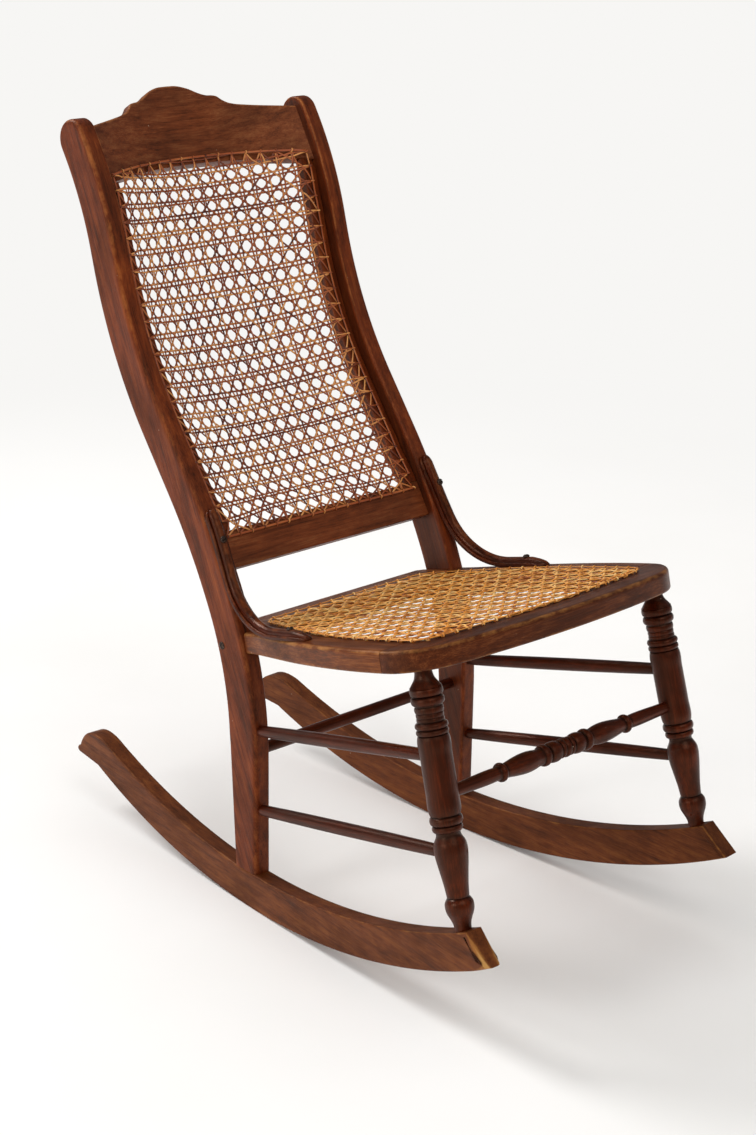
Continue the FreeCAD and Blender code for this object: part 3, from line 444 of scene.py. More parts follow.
def dark_steel(name):
    """Steel screw heads under brown shellac and rust: dull and mottled, brighter in patches."""
    material = bpy.data.materials.new(name)
    node = empty_tree(material)
    mottle = node("TexNoise", node("TexCoord")["Object"], Scale=900.0, Detail=3.0)["Fac"]
    colour = node("ValToRGB", mottle, stops=((0.35, "#1C130F"), (0.6, "#4A3A31"), (0.8, "#7A6A5E")))[0]
    rough = node("ValToRGB", mottle, stops=((0.3, 0.55), (0.8, 0.35)))[0]
    node("OutputMaterial", node("BsdfPrincipled", Base_Color=colour, Roughness=rough, Metallic=0.7)[0])
    return material


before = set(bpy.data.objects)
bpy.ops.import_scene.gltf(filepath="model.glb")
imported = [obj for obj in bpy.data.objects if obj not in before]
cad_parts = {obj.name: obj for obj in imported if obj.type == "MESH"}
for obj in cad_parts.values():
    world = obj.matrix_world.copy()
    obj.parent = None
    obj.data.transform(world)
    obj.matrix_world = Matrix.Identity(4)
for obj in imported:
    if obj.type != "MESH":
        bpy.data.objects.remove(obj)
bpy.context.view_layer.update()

POST_WOOD, RAIL_WOOD, FRONT_WOOD, CREST_WOOD, TURNED_WOOD, ROCKER_WOOD = (
    hardwood("Stained hardwood, " + use, *look) for use, *look in (
        ("posts", "#1E0601", "#66270A", "#8C441A", "#A4622E", 0.38),
        ("seat rails", "#260C03", "#66300F", "#9A5E2E", "#AE7840", 0.36),
        ("front seat rail", "#200902", "#4E200A", "#7C4522", "#A06C36", 0.32),
        ("crest", "#321206", "#6E3418", "#8A5430", "#9C6236", 0.36),
        ("turnings", "#160300", "#3A0F02", "#62230A", "#8E4A20", 0.25),
        ("rockers", "#2C0F03", "#602E10", "#80491F", "#98642F", 0.46)))
SEAT_CANE = rattan("Rattan cane, honey varnish", "#96420C", "#EA962C", "#FFD486", "#3C1402")
BACK_CANE = rattan("Rattan cane, old brown varnish", "#4A1604", "#A04A16", "#E8A258", "#1A0601")
STEEL = dark_steel("Steel screw, darkened")

# Camera, as the photograph was taken: place and turn found from the chair's own corners.

CAMERA_AT = (-1630.0, -1775.1, 1192.6)
CAMERA_YAW, CAMERA_PITCH, FOCAL = radians(42.67), radians(18.56), 2200.0
IMAGE_HIGH, SENSOR = 1135.0, 36.0


def set_up(data, spot, axes):
    """Puts a camera or lamp in the scene at a spot, its own x, y and z along the given axes."""
    matrix = np.eye(4)
    matrix[:3, :3], matrix[:3, 3] = np.stack(axes, -1), spot
    thing = bpy.data.objects.new(data.name, data)
    thing.matrix_world = Matrix(matrix.tolist())
    bpy.context.scene.collection.objects.link(thing)
    return thing


def set_camera():
    """Looks from CAMERA_AT, turned by the yaw and then down by the pitch, and rolled with the chair."""
    ahead = np.array([sin(CAMERA_YAW) * cos(CAMERA_PITCH),
                      cos(CAMERA_YAW) * cos(CAMERA_PITCH), -sin(CAMERA_PITCH)])
    right = np.array([cos(CAMERA_YAW), -sin(CAMERA_YAW), 0])
    up = np.cross(right, ahead)
    spot = at_rest(CAMERA_AT)
    data = bpy.data.cameras.new("Camera")
    data.sensor_fit, data.sensor_height, data.lens = "VERTICAL", SENSOR, FOCAL / IMAGE_HIGH * SENSOR
    data.clip_end = 60
    bpy.context.scene.camera = set_up(data, spot, [at_rest(np.array(CAMERA_AT) + v * 1000) - spot
                                                   for v in (right, up, -ahead)])


set_camera()

# Rockers

def rocker_x(y):
    """Middle of a rocker: under the post at its foot, and further out in front by the splay."""
    return POST_X - (y - 23.0) * tan(SPLAY)


def make_rocker(label, side):
    """Outline in y and z: two equal arcs one above the other, a sloped nose and a tail that curves down."""
    arcs = (-REACH, REACH - 47, 0.0), (NOSE - REACH, REACH - TAIL, ROCKER_HIGH)
    under, over = (resample([(y, rocker_edge(y, lift)) for y in np.linspace(first, last, 160)], count=120)
                   for first, last, lift in arcs)
    t = np.linspace(0, 1, 14)[1:, None]
    a, b, c = over[-1], over[-1] + (45, 14), np.array([REACH - 6, 85.5])
    drop = (1 - t) ** 2 * a + 2 * t * (1 - t) * b + t ** 2 * c
    rise = under[-1] + (np.array([REACH - 5, 76.2]) - under[-1]) * t
    tip = [(REACH - 2.2, 84.4), (REACH - 0.2, 81.8), (REACH - 0.6, 79.0), (REACH - 2.8, 77.0)]
    outline = join([over, drop, tip, rise[::-1], under[::-1]])
    worn = np.repeat([0.6, 0.9, 0.4], [133, 4, 133])
    worn[outline[:, 0] < -REACH + 45] = 1.0
    arris = np.full(len(outline), 1.8)
    if side == RIGHT:                                          # this nose has lost its lower corner
        arris[-4:] = 2.4, 3.8, 5.5, 7.0
        worn[-2:] = 1.6, 2.2

    def place(p):
        x, y = turned(p[:, 2], p[:, 0], -side * SPLAY)
        return run(side * rocker_x(0) + x, y, p[:, 1])

    sawn("rocker_" + label, outline, ROCKER_HALF, arris, worn, place, (0, 1, 0.06), 11 + side, ROCKER_WOOD)


# Back posts

def upright(side, x):
    """Places a board's plane (y, z) and depth at a distance to one side of the chair's middle."""
    return lambda p: run(side * x + p[:, 2], p[:, 0], p[:, 1])


def make_post(label, side):
    """Outline in y and z: the front curve, a half-round top, the rear curve and a foot cut to the rocker."""
    up = np.linspace(0, BACK_END, 190)
    front = back(up)
    rear = back(up, np.interp(up, [0, 165], [36.0, POST_DEPTH]))
    rear[0] = (46.0, rocker_edge(46.0, ROCKER_HIGH) + 0.15)
    front[0, 1] += 0.15
    lean, r = back_lean(BACK_END), POST_DEPTH / 2
    t = np.linspace(0, pi, 22)[1:-1]
    crown = back(BACK_END, r) + run(*turned(-r * np.cos(t), (r - 1) * np.sin(t), lean))
    outline = join([front, crown, rear[::-1]])
    counts = len(front), len(crown), len(rear)
    outer, inner = (join([np.full(counts[0], size), np.linspace(size, 2.0, counts[1]),
                          np.full(counts[2], 1.8)]) for size in (5.5, 2.6))
    worn = np.repeat([0.5, 1.0, 0.5], counts)
    worn[:len(front)] += np.interp(up, [600, 880], [0, 0.5])
    # Painted shade of -0.55 on the inner face: it is darkened to stand for the shadow it lies in beside the
    # cane.
    sawn("back_post_" + label, outline, POST_THICK / 2, (inner, outer)[::side], worn, upright(side, POST_X),
         (0, 0.42, 1), 21 + side, POST_WOOD, ((0, -1), (-1, 0)), (-0.55, 0.0)[::side])


def set_back(dist):
    """How far the weave lies behind the posts' front edge: as the rails do at its ends, deeper between."""
    return CANE_BACK + 4.0 * smooth((dist - STILE_LOW - 5) / 45) * smooth((CREST_AT - 5 - dist) / 45)


def make_stile(label, side):
    """Outline in y and z: a front line that steps back behind the crest, and a rear line along the post."""
    up = np.linspace(STILE_LOW + 0.3, CREST_AT - 4.0, 110)
    face = set_back(up)
    front = back(up, face + 4 * smooth((up - CREST_AT + 24) / 18))
    outline = join([front, back(up, face + 14.0)[::-1]])
    # Painted shade of -0.6 on both faces: the stile sits in the shadowed recess between post and cane.
    sawn("cane_stile_" + label, outline, STILE_HALF, 1.2, 0.3, upright(side, POST_INNER - 0.15 - STILE_HALF),
         (0, 0.4, 1), 31 + side, POST_WOOD, (), (-0.6, -0.6))


# Crest and lower rail

BOW, CREST_THICK, CREST_ARCH, CREST_DROP = 34.0, 17.0, 17.0, 24.0
CREST_HALF = POST_INNER - 0.15
CREST_TOP = [(0, 117.5), (15, 116.6), (29, 112.0), (42, 104.5), (52, 100.2), (60, 98.8), (64.5, 97.2),
             (69, 92.5), (75, 87.8), (84, 83.8), (98, 79.8), (120, 74.0), (140, 68.6), (152, 65.0),
             (156, 64.0)]


def rail_place(dist, lean, x, depth, height):
    """A point of a back rail: across, square to its face and up it, from a spot on the posts' curve."""
    (y0, z0), (y, z) = back(dist, CANE_BACK), turned(depth, height, lean)
    return run(x, y0 + y, z0 + z)


def crest_low(x):
    """Lower edge of the crest: an arch that falls with the square of the distance from the middle."""
    return CREST_ARCH - CREST_DROP * (x / CREST_HALF) ** 2


def make_crest():
    """Upright slices from end to end: each runs from the arched lower edge to the shaped top, bowed back."""
    x = np.linspace(-CREST_HALF, CREST_HALF, 181)
    low = crest_low(x)
    top = np.interp(np.abs(x), *flow(*CREST_TOP, step=1.0).T)
    face = BOW * (1 - (x / CREST_HALF) ** 2)
    rear = face + CREST_THICK
    points, wear_dirt_and_shade = [], []
    quarter = np.linspace(0, pi / 2, 5)

    def corner(height, depth, up, out, r, amount):
        for a in quarter[::-up * out]:
            points.append((height + up * r * (sin(a) - 1), depth + out * r * (cos(a) - 1)))
            wear_dirt_and_shade.append(np.full(len(x), amount * (0.35 + 0.65 * sin(2 * a))))

    def face_up(depth, shares):
        for share in shares:
            points.append((low + (top - low) * share, depth))
            wear_dirt_and_shade.append(np.zeros(len(x)))

    shares = np.linspace(0, 1, 9)[1:-1]
    face_up(rear, 1 - shares)
    corner(low, rear, -1, 1, 1.5, 0.4)
    corner(low, face, -1, -1, 1.5, 0.4)
    face_up(face, shares)
    corner(top, face, 1, -1, 3.2, 1.1)
    points.append((top, face + CREST_THICK / 2))
    wear_dirt_and_shade.append(np.full(len(x), 0.55))
    corner(top, rear, 1, 1, 3.2, 1.0)
    lean = float(back_lean(CREST_AT + 30.5))
    verts, faces = tube(np.stack([rail_place(CREST_AT, lean, x, d, h) for h, d in points], 1))
    wear_dirt_and_shade = np.stack(wear_dirt_and_shade, 1).ravel()
    finish_mesh("crest_rail", verts, faces, CREST_WOOD, along_grain(verts, (1, 0, 0), 41, wear_dirt_and_shade))


def make_lower_rail():
    """A squared stick with rounded arrises, straight from post to post."""
    section, half = round_box(19.0, LOWER_RAIL, 1.6), POST_INNER - 0.3
    lean = float(back_lean(STILE_LOW))
    rings = [rail_place(STILE_LOW, lean, np.full(len(section), x), section[:, 0], section[:, 1] - LOWER_RAIL)
             for x in np.linspace(-half, half, 41)]
    verts, faces = tube(np.array(rings))
    finish_mesh("lower_back_rail", verts, faces, CREST_WOOD,
                along_grain(verts, (1, 0, 0), 42, np.tile(section[:, 2], 41) * 0.7))


def round_box(wide, high, r):
    """Section of a squared stick with rounded arrises: x, y and how worn each point is."""
    t = np.linspace(0, pi / 2, 5)
    points = []
    for k, (cx, cy) in enumerate(((wide - r, high - r), (r, high - r), (r, r), (wide - r, r))):
        a = t + k * pi / 2
        arc = run(cx + r * np.cos(a), cy + r * np.sin(a), 0.35 + 0.65 * np.sin(2 * t))
        ahead = [[-2.5 * sin(b), 2.5 * cos(b), 0.0] for b in (a[0], a[-1])]
        points += [arc[:1] - ahead[:1] - [[0, 0, 0.33]], arc, arc[-1:] + ahead[1:] - [[0, 0, 0.33]]]
    return join(points)


# Seat rails: boards whose outlines follow the plan arcs.

def seat_board(node, outline, arris, worn, grain, number, cuts, wood):
    """A board of the seat frame, its upper face in the seat's plane."""
    place = lambda p: on_seat(p[:, 0], p[:, 1], p[:, 2] - SEAT_THICK / 2)
    sawn(node, outline, SEAT_THICK / 2, arris, worn, place, grain, number, wood, cuts)


def waisted(plan):
    """Draws the outer line in a little between the corner and the post, as the chair's own seat is."""
    draw = 5.0 * smooth((plan[:, 1] + 215) / 95) * smooth((60 - plan[:, 1]) / 60)
    return plan - run(draw * np.sign(plan[:, 0]), 0 * draw)


def make_seat_rails():
    """Front rail between the two joints, side rails from the joints to the posts, rear rail between them."""
    low_end, high_end = back_where(SEAT_HEIGHT - SEAT_THICK), back_where(SEAT_HEIGHT + 6)
    post_front = float(to_seat_y(back(np.arange(low_end, high_end, 1.0))).min()) - 0.2
    outer, inner = (seat_turn_at(JOINT_Y - JOINT_GAP, inset) for inset in (0, FRAME_WIDE))
    a = resample(waisted(seat_plan(np.linspace(-outer, outer, 400), 0)), count=90)
    b = resample(seat_plan(np.linspace(inner, -inner, 400), FRAME_WIDE), count=90)
    arris = np.repeat([[2.6, 1.2], [4.6, 1.2]], 90, axis=1)                # lower face, upper face
    seat_board("seat_front_rail", join([a, b]), arris, np.repeat([0.85, 0.4], 90), (1, 0, 0), 51,
               ((0, 179), (179, 0), (89, 90), (90, 89)), FRONT_WOOD)
    outer, inner = (seat_turn_at(JOINT_Y + JOINT_GAP, inset) for inset in (0, FRAME_WIDE))
    counts = [60, 40, 40, 60]
    arris = np.repeat([[2.6, 1.0, 1.0, 1.2], [4.6, 1.0, 1.0, 1.2]], counts, axis=1)
    arc = join([seat_plan(np.linspace(outer, TURN_SIDE, 200), 0), [(POST_OUTER - 1.5, post_front)]])
    a = resample(waisted(resample(arc, 4)), count=60)
    notch = resample([(POST_INNER - 0.2, post_front), (POST_INNER - 0.2, 80), (POST_INNER - 8, SEAT_REAR),
                      (REAR_PART + 0.1, SEAT_REAR)], count=40)
    tail = resample([(REAR_PART + 0.1, 33.5), (127.5, 24.0)], count=40)
    b = resample(seat_plan(np.linspace(TURN_SIDE, inner, 200), FRAME_WIDE), count=60)
    for label, side in SIDES:
        seat_board("seat_side_rail_" + label, join([a, notch, tail, b]) * (side, 1), arris,
                   np.repeat([0.9, 0.3, 0.3, 0.5], counts), (0, 1, -0.22), 52 + side,
                   ((0, 199), (199, 0), (59, 60), (99, 100), (100, 99)), RAIL_WOOD)
    across = np.linspace(-REAR_PART + 0.1, REAR_PART - 0.1, 60)
    rear = join([run(across, SEAT_REAR), run(across[::-1], 38.0)])
    seat_board("seat_rear_rail", rear, 1.0, 0.4, (1, 0, 0), 55,
               ((0, 119), (119, 0), (59, 60), (60, 59)), RAIL_WOOD)


def to_seat_y(points):
    """Seat plane y of (y, z) points in the drawing frame."""
    return turned(points[:, 0], points[:, 1] - SEAT_HEIGHT, -SEAT_SLOPE)[0]


# Turned front legs and stretchers

LEG_FOOT, LEG_DRAWN = -340.0, 276.0


def leg_line(side):
    """Ends of a leg's axis: the seat's lower face and the rocker's upper edge."""
    top = on_seat(side * 179.0, -269.6, -SEAT_THICK)
    return top, np.array([side * rocker_x(LEG_FOOT), LEG_FOOT, float(rocker_edge(LEG_FOOT, ROCKER_HIGH))])


def leg_at(side, height):
    """The point of a leg's axis at a height."""
    top, foot = leg_line(side)
    return top + (foot - top) * (top[2] - height) / (top[2] - foot[2])


def leg_profile(long):
    """Neck flaring to a shoulder, lip and ring, a reeded cove, two rings, plain shaft, two rings, cove,
    vase, ball and ankle; drawn for a leg of LEG_DRAWN and stretched to its length."""
    parts = [
        [(-4, 9.2)], flow((0, 9.2), (6, 9.6), (11, 11.0), (16, 14.4), (19.6, 17.0)),
        ring_of(20, 27.6, 16.2, 17.5), [(28.2, 15.2)], ring_of(28.8, 37.8, 14.8, 17.6), [(38.6, 14.3)],
        ring_of(39, 45.6, 14.3, 15.4, 7), ring_of(46, 50.6, 14.1, 14.7, 7), ring_of(51, 55.2, 14.1, 14.8, 7),
        ring_of(55.8, 62.6, 14.6, 17.5), ring_of(63, 69, 14.8, 17.2), [(69.4, 15.3)],
        flow((69.8, 16.3), (72, 16.9), (90, 17.0), (130, 17.0), (150, 16.8), (152.6, 16.2)), [(153.2, 14.4)],
        ring_of(153.8, 163.2, 14.6, 17.6), ring_of(163.6, 170.4, 14.0, 16.3),
        flow((171, 13.2), (174, 12.9), (177, 14.2), (182, 16.8), (189, 17.8), (198, 17.2), (212, 15.2),
             (227, 13.0), (239.6, 11.8)), [(240.4, 11.2)],
        flow((241, 12.4), (244.5, 14.6), (250, 15.4), (256, 14.4), (262, 11.8), (268, 9.6), (276, 8.8)),
        [(279, 8.6)]]
    return join(parts) * (long / LEG_DRAWN, 1)


def make_front():
    """The legs, and between them a stretcher turned alike from its middle to both ends."""
    for label, side in SIDES:
        top, foot = leg_line(side)
        turning("front_leg_" + label, leg_profile(np.linalg.norm(foot - top)), top, foot, 61 + side)
    a, b = leg_at(RIGHT, 253.5), leg_at(LEFT, 253.5)
    long = np.linalg.norm(b - a) / 2
    half = join([
        ring_of(-3.6, 3.6, 9.2, 10.9)[4:], ring_of(4.4, 9.6, 8.8, 10.4), ring_of(10.6, 26.0, 8.6, 11.6, 13),
        [(27.0, 8.6), (28.4, 8.6)], ring_of(28.8, 37.0, 9.4, 12.0),
        flow((37.8, 9.3), (42, 9.4), (52, 10.8), (60, 11.3), (72, 10.6), (84, 9.0), (93.6, 7.6)),
        ring_of(94.4, 101.4, 7.8, 10.6), flow((102.2, 7.3), (110, 7.6), (long - 30, 6.9), (long - 14, 6.4))])
    profile = join([half[::-1] * (-1, 1), half])
    keep = join([[True], np.diff(profile[:, 0]) > 1e-3])
    turning("front_stretcher", profile[keep] + (long, 0), a, b, 64)


def plain_stretcher(node, a, b, thick, end, short, number):
    """A stretcher that starts a little short of a and b and swells very slightly towards its middle: the
    radius goes with the 0.45th power of the sine."""
    t = np.linspace(0, 1, 40)
    long = np.linalg.norm(b - a)
    radius = end + (thick - end) * np.sin(pi * t) ** 0.45
    turning(node, run(short + (long - short - short) * t, radius), a, b, number, around=40)


def make_stretchers():
    """Two on each side, from post to leg, and one between the posts."""
    for which, post_high, leg_high, number in (("upper", 221.0, 293.0, 71), ("lower", 123.0, 194.0, 74)):
        for label, side in SIDES:
            y, z = back(back_where(post_high, 14.0), 14.0)
            plain_stretcher(f"side_stretcher_{which}_{label}", np.array([side * POST_X, y, z]),
                            leg_at(side, leg_high), 7.6, 6.0, 13.0, number + side)
    y, z = back(back_where(190.0, 24.0), 24.0)
    a, b = (np.array([side * (POST_INNER + 4), y, z]) for side in (RIGHT, LEFT))
    plain_stretcher("rear_stretcher", a, b, 7.4, 6.4, 0, 77)


# Hip brackets: a steam-bent moulded strip from the post's front down on to the seat.

BRACKET_TOE = -101.0


def bracket_path():
    """Back face of the strip, as y, z and lean: down the post, one bend, then along the seat."""
    d = np.linspace(back_where(466.0), back_where(428.0), 14)
    along = np.column_stack([back(d, -0.15), back_lean(d)])
    y0, z0, lean = along[-1]
    flat, r, slope = pi / 2 + SEAT_SLOPE, 88.0, tan(SEAT_SLOPE)
    now = np.linspace(lean, flat, 40)
    bend_y, bend_z = r * (np.cos(now) - cos(lean)), r * (np.sin(now) - sin(lean))
    rise = z0 - bend_z[-1] - SEAT_HEIGHT - 0.15 + (y0 + bend_y[-1]) * slope
    straight = rise / (cos(lean) + sin(lean) * slope)
    bend = run(y0 - straight * sin(lean) + bend_y, z0 - straight * cos(lean) - bend_z, now)
    y, z, now = bend[-1]
    far = np.linspace(y, BRACKET_TOE, 24)[1:]
    return join([along, bend, run(far, z - (far - y) * slope, now)])


def make_bracket(label, side):
    """The moulded section, a half-round rib between two beads, carried down the path and swung outwards."""
    path = bracket_path()
    far = travelled(path[:, :2])
    at = join([np.linspace(0, 14, 12), np.linspace(14, far[-1] - 24, 90)[1:],
               np.linspace(far[-1] - 24, far[-1], 18)[1:]])
    y, z, lean = follow(path, far, at).T
    share = at / far[-1]
    sway = 20.0 * share ** 2 * (3 - 2 * share)
    tip = np.sqrt(np.clip(1 - (1 - np.clip(at / 11, 0, 1)) ** 2, 0.02, 1))
    nib = np.clip((far[-1] - at) / 24, 0, 1)
    wide = 9.5 * tip * (0.22 + 0.78 * np.sqrt(np.clip(1 - (1 - nib) ** 2, 0, 1)))
    high = 10.5 * np.minimum(0.45 + 0.55 * tip, 0.35 + 0.65 * nib ** 0.6)
    t = np.linspace(0, pi, 13)
    rib = run(-0.66 * np.cos(t), 0.42 + 0.58 * np.sin(t))
    bead = run(-0.83 - 0.15 * np.cos(t[::3]), 0.30 + 0.16 * np.sin(t[::3]))
    section = join([[(-1, 0), (-1, 0.22)], bead, rib, bead[::-1] * (-1, 1), [(1, 0.22), (1, 0)]])
    beads = np.full(len(bead), 0.5)
    worn = join([[0.1, 0.3], beads, 0.15 + 0.6 * np.sin(t) ** 2, beads, [0.3, 0.1]])
    x = side * (POST_X + sway)[:, None] + section[:, 0] * wide[:, None]
    out = section[:, 1] * high[:, None]
    y, z, lean = y[:, None], z[:, None], lean[:, None]
    verts, faces = tube(run(x, y - np.cos(lean) * out, z + np.sin(lean) * out))
    grain = run(x.ravel(), out.ravel(), np.repeat(at, len(section))) / 1000 + (0, 0, side)
    finish_mesh("hip_bracket_" + label, verts, faces, TURNED_WOOD,
                {"grain": grain, "wear_dirt_and_shade": np.tile(worn, len(at))}, sharp=55)


# Screws with round slotted heads

def screw_head(centre, axis, slot_way, radius, high):
    """A dome whose height falls with the square of the radius, with a straight slot sunk across it."""
    axis = unit(axis)
    along = unit(slot_way - axis * np.dot(slot_way, axis))
    r = join([np.linspace(0.05, 0.9, 12), [0.97, 1.0, 1.0]]) * radius
    angle = np.linspace(0, 2 * pi, 60, endpoint=False)
    u, v = r[:, None] * np.cos(angle), r[:, None] * np.sin(angle)
    dome = high * np.sqrt(np.clip(1.02 - (r / radius) ** 2, 0, 1))[:, None] * np.ones(60)
    dome[-1] = -0.6
    slot = np.clip((0.62 - np.abs(v)) / 0.12, 0, 1) * 0.95
    dome[:-1] -= (slot * (dome > 0.2))[:-1]
    return tube(np.asarray(centre) + u[..., None] * along + v[..., None] * np.cross(axis, along)
                + dome[..., None] * axis)


def make_screws():
    """On each side one through the post, one at the head of the bracket and one at its toe."""
    verts, faces, start = [], [], 0
    for side in (RIGHT, LEFT):
        for screw in (((side * (POST_OUTER - 0.2), 62.0, 315.0), (side, 0, 0), (0, 0.5, 1), 4.6, 2.0),
                      ((side * 168.7, 64.7, 439.1), (0, -cos(0.4), sin(0.4)), (1, 0.2, 0.3), 4.0, 2.5),
                      ((side * 184.7, -66.8, 372.0), (0, *turned(0, 1, SEAT_SLOPE)), (0.6, 1, 0), 4.0, 2.5)):
            v, f = screw_head(*screw)
            verts.append(v)
            faces += [[k + start for k in face] for face in f]
            start += len(v)
    finish_mesh("screw_heads", join(verts), faces, STEEL, {}, 50, replaces=False)


# Cane weave. Strands run in six ways: two upright pairs, two level pairs and two diagonals. With k and j
# whole numbers and p the pitch, pairs lie g either side of x = kp and y = jp, diagonals on x - y and
# x + y = (k + 1/2)p. A pair's strands rise and fall as sines of opposite sign, so that each goes over
# one strand of the crossing pair and under the other.

WAVE, STRAND_LIFT = 0.78, 1.25
COLUMNS, ROWS, HOLE_LINE = 16, 23, 7.5
BACK_SPAN = POST_INNER - 17.15
RIBBON = np.array([(-1.0, -0.30), (-0.72, 0.42), (0.0, 0.68), (0.72, 0.42), (1.0, -0.30)])


def ribbons(strands, wide, thick):
    """Carries the domed ribbon section along each strand: points (n, 3), normals (n, 3) and its shade."""
    verts, faces, lay, start = [], [], [], 0
    for centre, normal, shade in strands:
        ahead = unit(np.gradient(centre, axis=0))
        side = unit(np.cross(ahead, normal))
        over, up = RIBBON[:, 0, None] * side[:, None], RIBBON[:, 1, None] * np.cross(side, ahead)[:, None]
        ring = centre[:, None] + over * wide / 2 + up * thick
        n, m = ring.shape[:2]
        verts.append(ring.reshape(-1, 3))
        faces += ring_faces(n, m, start)
        faces += [list(range(start, start + m))[::-1], list(range(start + (n - 1) * m, start + n * m))]
        lay.append(run(np.tile(RIBBON[:, 0], n), np.repeat(travelled(centre), m), shade))
        start += n * m
    return join(verts), faces, join(lay)


def crossing(origin, way, border):
    """Where a line enters and leaves the closed border, as distances along the line."""
    a, b = border, np.roll(border, -1, 0)
    n = np.array([-way[1], way[0]])
    da, db = (a - origin) @ n, (b - origin) @ n
    hit = (da > 0) != (db > 0)
    if hit.sum() < 2:
        return None
    share = da[hit] / (da[hit] - db[hit])
    t = ((a[hit] + (b[hit] - a[hit]) * share[:, None]) - origin) @ way
    return t.min(), t.max()


def woven(border, holes, pitch, centre, gap, surface, seed):
    """All strands of a panel. Each keeps to its line, draws to its pair over the last pitch and ends in a
    hole. A little wander comes from seeded numbers and a sine."""
    rng = seeded(seed)
    (px, py), (cx, cy) = pitch, centre
    lo, hi = border.min(0), border.max(0)
    lines = []
    for k in range(floor((lo[0] - cx) / px) + 1, ceil((hi[0] - cx) / px)):
        lines += [((cx + k * px, cy), (0, 1), (s * gap * px, 0), "upright", s) for s in (-1, 1)]
    for j in range(floor((lo[1] - cy) / py) + 1, ceil((hi[1] - cy) / py)):
        lines += [((cx, cy + j * py), (1, 0), (0, s * gap * py), "level", s) for s in (-1, 1)]
    span = int((hi[0] - lo[0]) / px + (hi[1] - lo[1]) / py) + 3
    for k in range(-span, span):
        lines += [((cx + (k + 0.5) * px, cy), (-s * px, py), (0, 0), "diagonal", s) for s in (-1, 1)]
    strands = []
    for origin, way, apart, kind, sign in lines:
        origin, way = np.array(origin), unit(way)
        found = crossing(origin, way, border)
        if found is None or found[1] - found[0] < 0.9 * px:
            continue
        t0, t1 = found
        ends = [origin + way * t for t in found]
        shift = np.array([0.25 * px * sign, 0]) if kind == "diagonal" else 0
        snap = [holes[np.argmin(np.linalg.norm(holes - (e + shift), axis=1))] for e in ends]
        t = np.linspace(t0, t1, max(int((t1 - t0) / (px / 6.2)), 6) + 1)
        near, far = np.clip((t - t0) / (0.95 * px), 0, 1), np.clip((t1 - t) / (0.95 * px), 0, 1)
        both = near * far
        p = origin + way * t[:, None] + np.array(apart) * both[:, None]
        p += (snap[0] - ends[0]) * (1 - near)[:, None] + (snap[1] - ends[1]) * (1 - far)[:, None]
        off, swing = rng.normal(0, 0.28, 2)
        aside = (off + swing * np.sin(t / 31 + rng.uniform(0, 6))) * both
        p += np.array([-way[1], way[0]]) * aside[:, None]
        x, y = 2 * pi * (p[:, 0] - cx) / px, 2 * pi * (p[:, 1] - cy) / py
        wave = {"upright": WAVE * np.sin(y), "level": -WAVE * np.sin(x), "diagonal": -0.35 * np.cos(x)}[kind]
        down = 1 - smooth(np.minimum(t - t0, t1 - t) / 2.2)
        lift = STRAND_LIFT + wave * sign * both - (STRAND_LIFT + 1.2) * down
        strands.append((*surface(p, lift), rng.uniform(0, 1)))
    return strands


def normal_of(place, p):
    """Unit normal of a surface given as a function of plane points, from its slopes each way."""
    e = 0.5
    du = place(p + (e, 0), 0) - place(p - (e, 0), 0)
    dv = place(p + (0, e), 0) - place(p - (0, e), 0)
    return unit(np.cross(du, dv))


def back_surface(p, height):
    """Cane of the back: bowed to the rear as the crest is, a little less towards the lower rail, where the
    rows over its middle have slipped upwards."""
    x, dist = p[:, 0], p[:, 1]
    low = STILE_LOW - HOLE_LINE
    slack = smooth((x + 125) / 60) * smooth((85 - x) / 60)
    dist = dist + 4.5 * slack * np.exp(-((dist - low - 20) / 13) ** 2)
    fade = np.interp(dist, [low, low + 12, low + 60, low + 200, CREST_AT - 60, CREST_AT],
                     [0, 1, 16, 23, 29, BOW])
    bow = fade * np.clip(1 - (x / BACK_SPAN) ** 2, 0, 1)
    y, z = back(dist, set_back(dist) + bow - height).T
    return run(x, y, z)


def seat_surface(p, height):
    """Cane of the seat: the seat's plane, sagging a little towards the middle."""
    sag = 2.2 * smooth(1 - np.hypot(p[:, 0] / 135, (p[:, 1] + 125) / 150))
    return on_seat(p[:, 0], p[:, 1], height - sag)


def couching(holes, surface):
    """A small loop of cane over the binder at each hole: half a circle square to the binder strand."""
    ways = unit(np.roll(holes, -1, 0) - np.roll(holes, 1, 0))
    t = np.linspace(0, pi, 8)
    high = 2.9 + 0.9 * np.sin(t) - 1.6 * np.cos(t) ** 4
    for k, (spot, way) in enumerate(zip(holes, ways)):
        across = np.array([-way[1], way[0]])
        p = spot + across * (-np.cos(t) * 2.3)[:, None] + way * np.linspace(-0.5, 0.5, 8)[:, None]
        yield *surface(p, high), (k * 0.37) % 1


def panel(node, border, holes, pitch, centre, place, material, seed, binder, wide):
    """The woven strands of a panel, and round its rim a flat binder held down by a loop over each hole."""
    surface = lambda p, h: (place(p, h), normal_of(place, p))
    verts, faces, lay = ribbons(woven(border, holes, pitch, centre, 0.125, surface, seed), wide, 0.27 * wide)
    finish_mesh(node, verts, faces, material, {"lay": lay}, 70)
    binder = [resample(line, 3.0) for line in binder]
    edge = [(*surface(line, np.full(len(line), 2.4)), 0.4) for line in binder]
    verts, faces, lay = ribbons(edge, 3.0, 0.8)
    loops, more, shades = ribbons(couching(holes, surface), 2.1, 0.55)
    faces += [[k + len(verts) for k in f] for f in more]
    finish_mesh(node + "_binding", join([verts, loops]), faces, material,
                {"lay": join([lay, shades])}, 70)


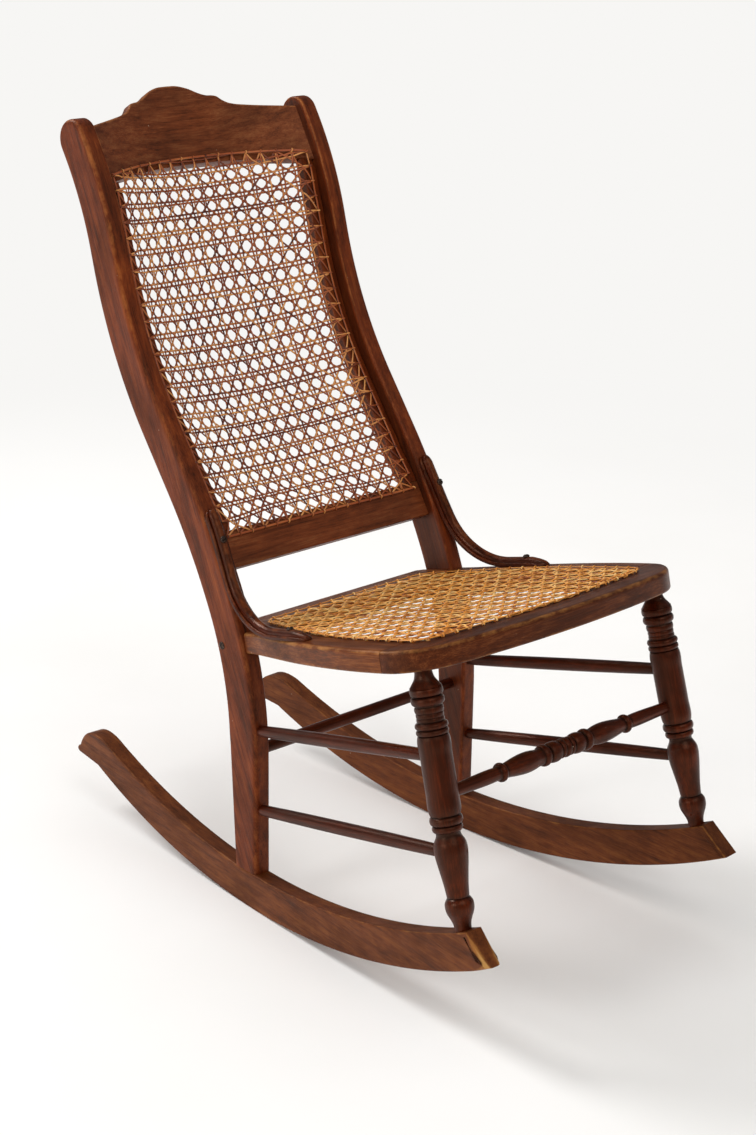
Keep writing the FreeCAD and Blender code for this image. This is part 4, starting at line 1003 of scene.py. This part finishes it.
def make_back_cane():
    """Sixteen by twenty-three spaces between the lower rail, the stiles and the crest's arched edge."""
    half, low = POST_INNER - STILE_HALF - 0.5, STILE_LOW - HOLE_LINE
    top = lambda x: CREST_AT + HOLE_LINE + crest_low(x)
    px, py = 2 * half / COLUMNS, (float(top(half)) - low) / ROWS
    xs, ys = (np.arange(COLUMNS + 1) - COLUMNS / 2) * px, low + np.arange(1, ROWS) * py
    sides = [run(xs, low), run(half, ys), run(xs[::-1], top(xs[::-1])), run(-half, ys[::-1])]
    arch = np.linspace(half, -half, 40)
    border = join([[(-half, low), (half, low)], run(arch, top(arch))])
    panel("back_cane", border, join(sides), (px, py), (0.0, low), back_surface, BACK_CANE, 81,
          sides, 2.3)


def make_seat_cane():
    """Holes a stock distance apart, all round the seat frame's opening."""
    rear, half = SEAT_REAR - CANE_INSET, POST_INNER + 16.0 - CANE_INSET
    tail = np.array([(half - 4, rear - 14), (half - 20, rear)])
    ring = join([seat_plan(np.linspace(-TURN_SIDE, TURN_SIDE, 700), CANE_INSET), tail, tail[::-1] * (-1, 1)])
    closed = join([ring, ring[:1]])
    border = resample(closed, 4.0)
    far = travelled(closed)
    count = int(round(far[-1] / 17.6))
    holes = follow(closed, far, (np.arange(count) + 0.5) / count * far[-1])
    panel("seat_cane", border[:-1], holes, (20.4, 18.4), (0.0, -278.3), seat_surface, SEAT_CANE, 82,
          [border], 3.2)


for label, side in SIDES:
    make_rocker(label, side)
    make_post(label, side)
    make_stile(label, side)
    make_bracket(label, side)
make_crest()
make_lower_rail()
make_seat_rails()
make_front()
make_stretchers()
make_screws()
make_back_cane()
make_seat_cane()

# Floor, light and world

def make_floor():
    """Matt white-painted floor, a flat disc a little uneven in tone, that fades into the background."""
    material = bpy.data.materials.new("White floor paint, matt")
    node = empty_tree(material)
    place = node("TexCoord")["Object"]
    tone = node("TexNoise", place, Scale=2.5, Detail=6.0)["Fac"]
    paint = node("BsdfDiffuse", node("ValToRGB", tone, stops=((0.3, "#F4F3F1"), (0.7, "#F8F7F6")))[0])[0]
    pale = node("Emission", BACKDROP, 1.0)[0]
    way = node("VectorMath", place, operation="LENGTH")["Value"]
    fade = node("MapRange", way, 0.9, 2.4, interpolation_type="SMOOTHSTEP")[0]
    seen = node("Math", fade, node("LightPath")["Is Camera Ray"], operation="MULTIPLY")[0]
    node("OutputMaterial", node("MixShader", seen, paint, pale)[0])
    angle = np.linspace(0, 2 * pi, 96, endpoint=False)
    r = np.array([0.01, 1.5, 4.0, 9.0])
    grid = run(r[:, None] * np.cos(angle), r[:, None] * np.sin(angle), np.zeros((4, 96)))
    mesh = bpy.data.meshes.new("floor")
    faces = [f[::-1] for f in ring_faces(4, 96)] + [list(range(96))]
    mesh.from_pydata(grid.reshape(-1, 3).tolist(), [], faces)
    mesh.materials.append(material)
    disc = bpy.data.objects.new("floor", mesh)
    bpy.context.scene.collection.objects.link(disc)


def area_light(name, at, size, power):
    """A round lamp that faces a point 0.4 m above the floor."""
    data = bpy.data.lights.new(name, "AREA")
    data.shape, data.size, data.energy = "DISK", size, power
    back_way = unit(np.array(at) - (0.0, 0.0, 0.4))
    side = unit(np.cross((0, 0, 1), back_way))
    set_up(data, at, (side, np.cross(back_way, side), back_way))


def make_world():
    """An even white: full strength to the camera, less as light, least in reflections."""
    world = bpy.data.worlds.new("White studio")
    node = empty_tree(world)
    rays = node("LightPath")
    dim = node("Math", rays["Is Glossy Ray"], -0.46, 0.66, operation="MULTIPLY_ADD")[0]
    strength = node("Math", rays["Is Camera Ray"], 0.34, dim, operation="MULTIPLY_ADD")[0]
    node("OutputWorld", node("Background", BACKDROP, strength)[0])
    bpy.context.scene.world = world


make_floor()
area_light("key, high behind", (-1.5, 4.8, 4.8), 2.2, 205)
area_light("fill, low on the left", (-6.0, 0.7, 2.8), 2.4, 120)
area_light("fill, above the camera", (-1.0, -4.4, 5.8), 4.0, 95)
make_world()
bpy.context.scene.view_settings.view_transform = "Standard"
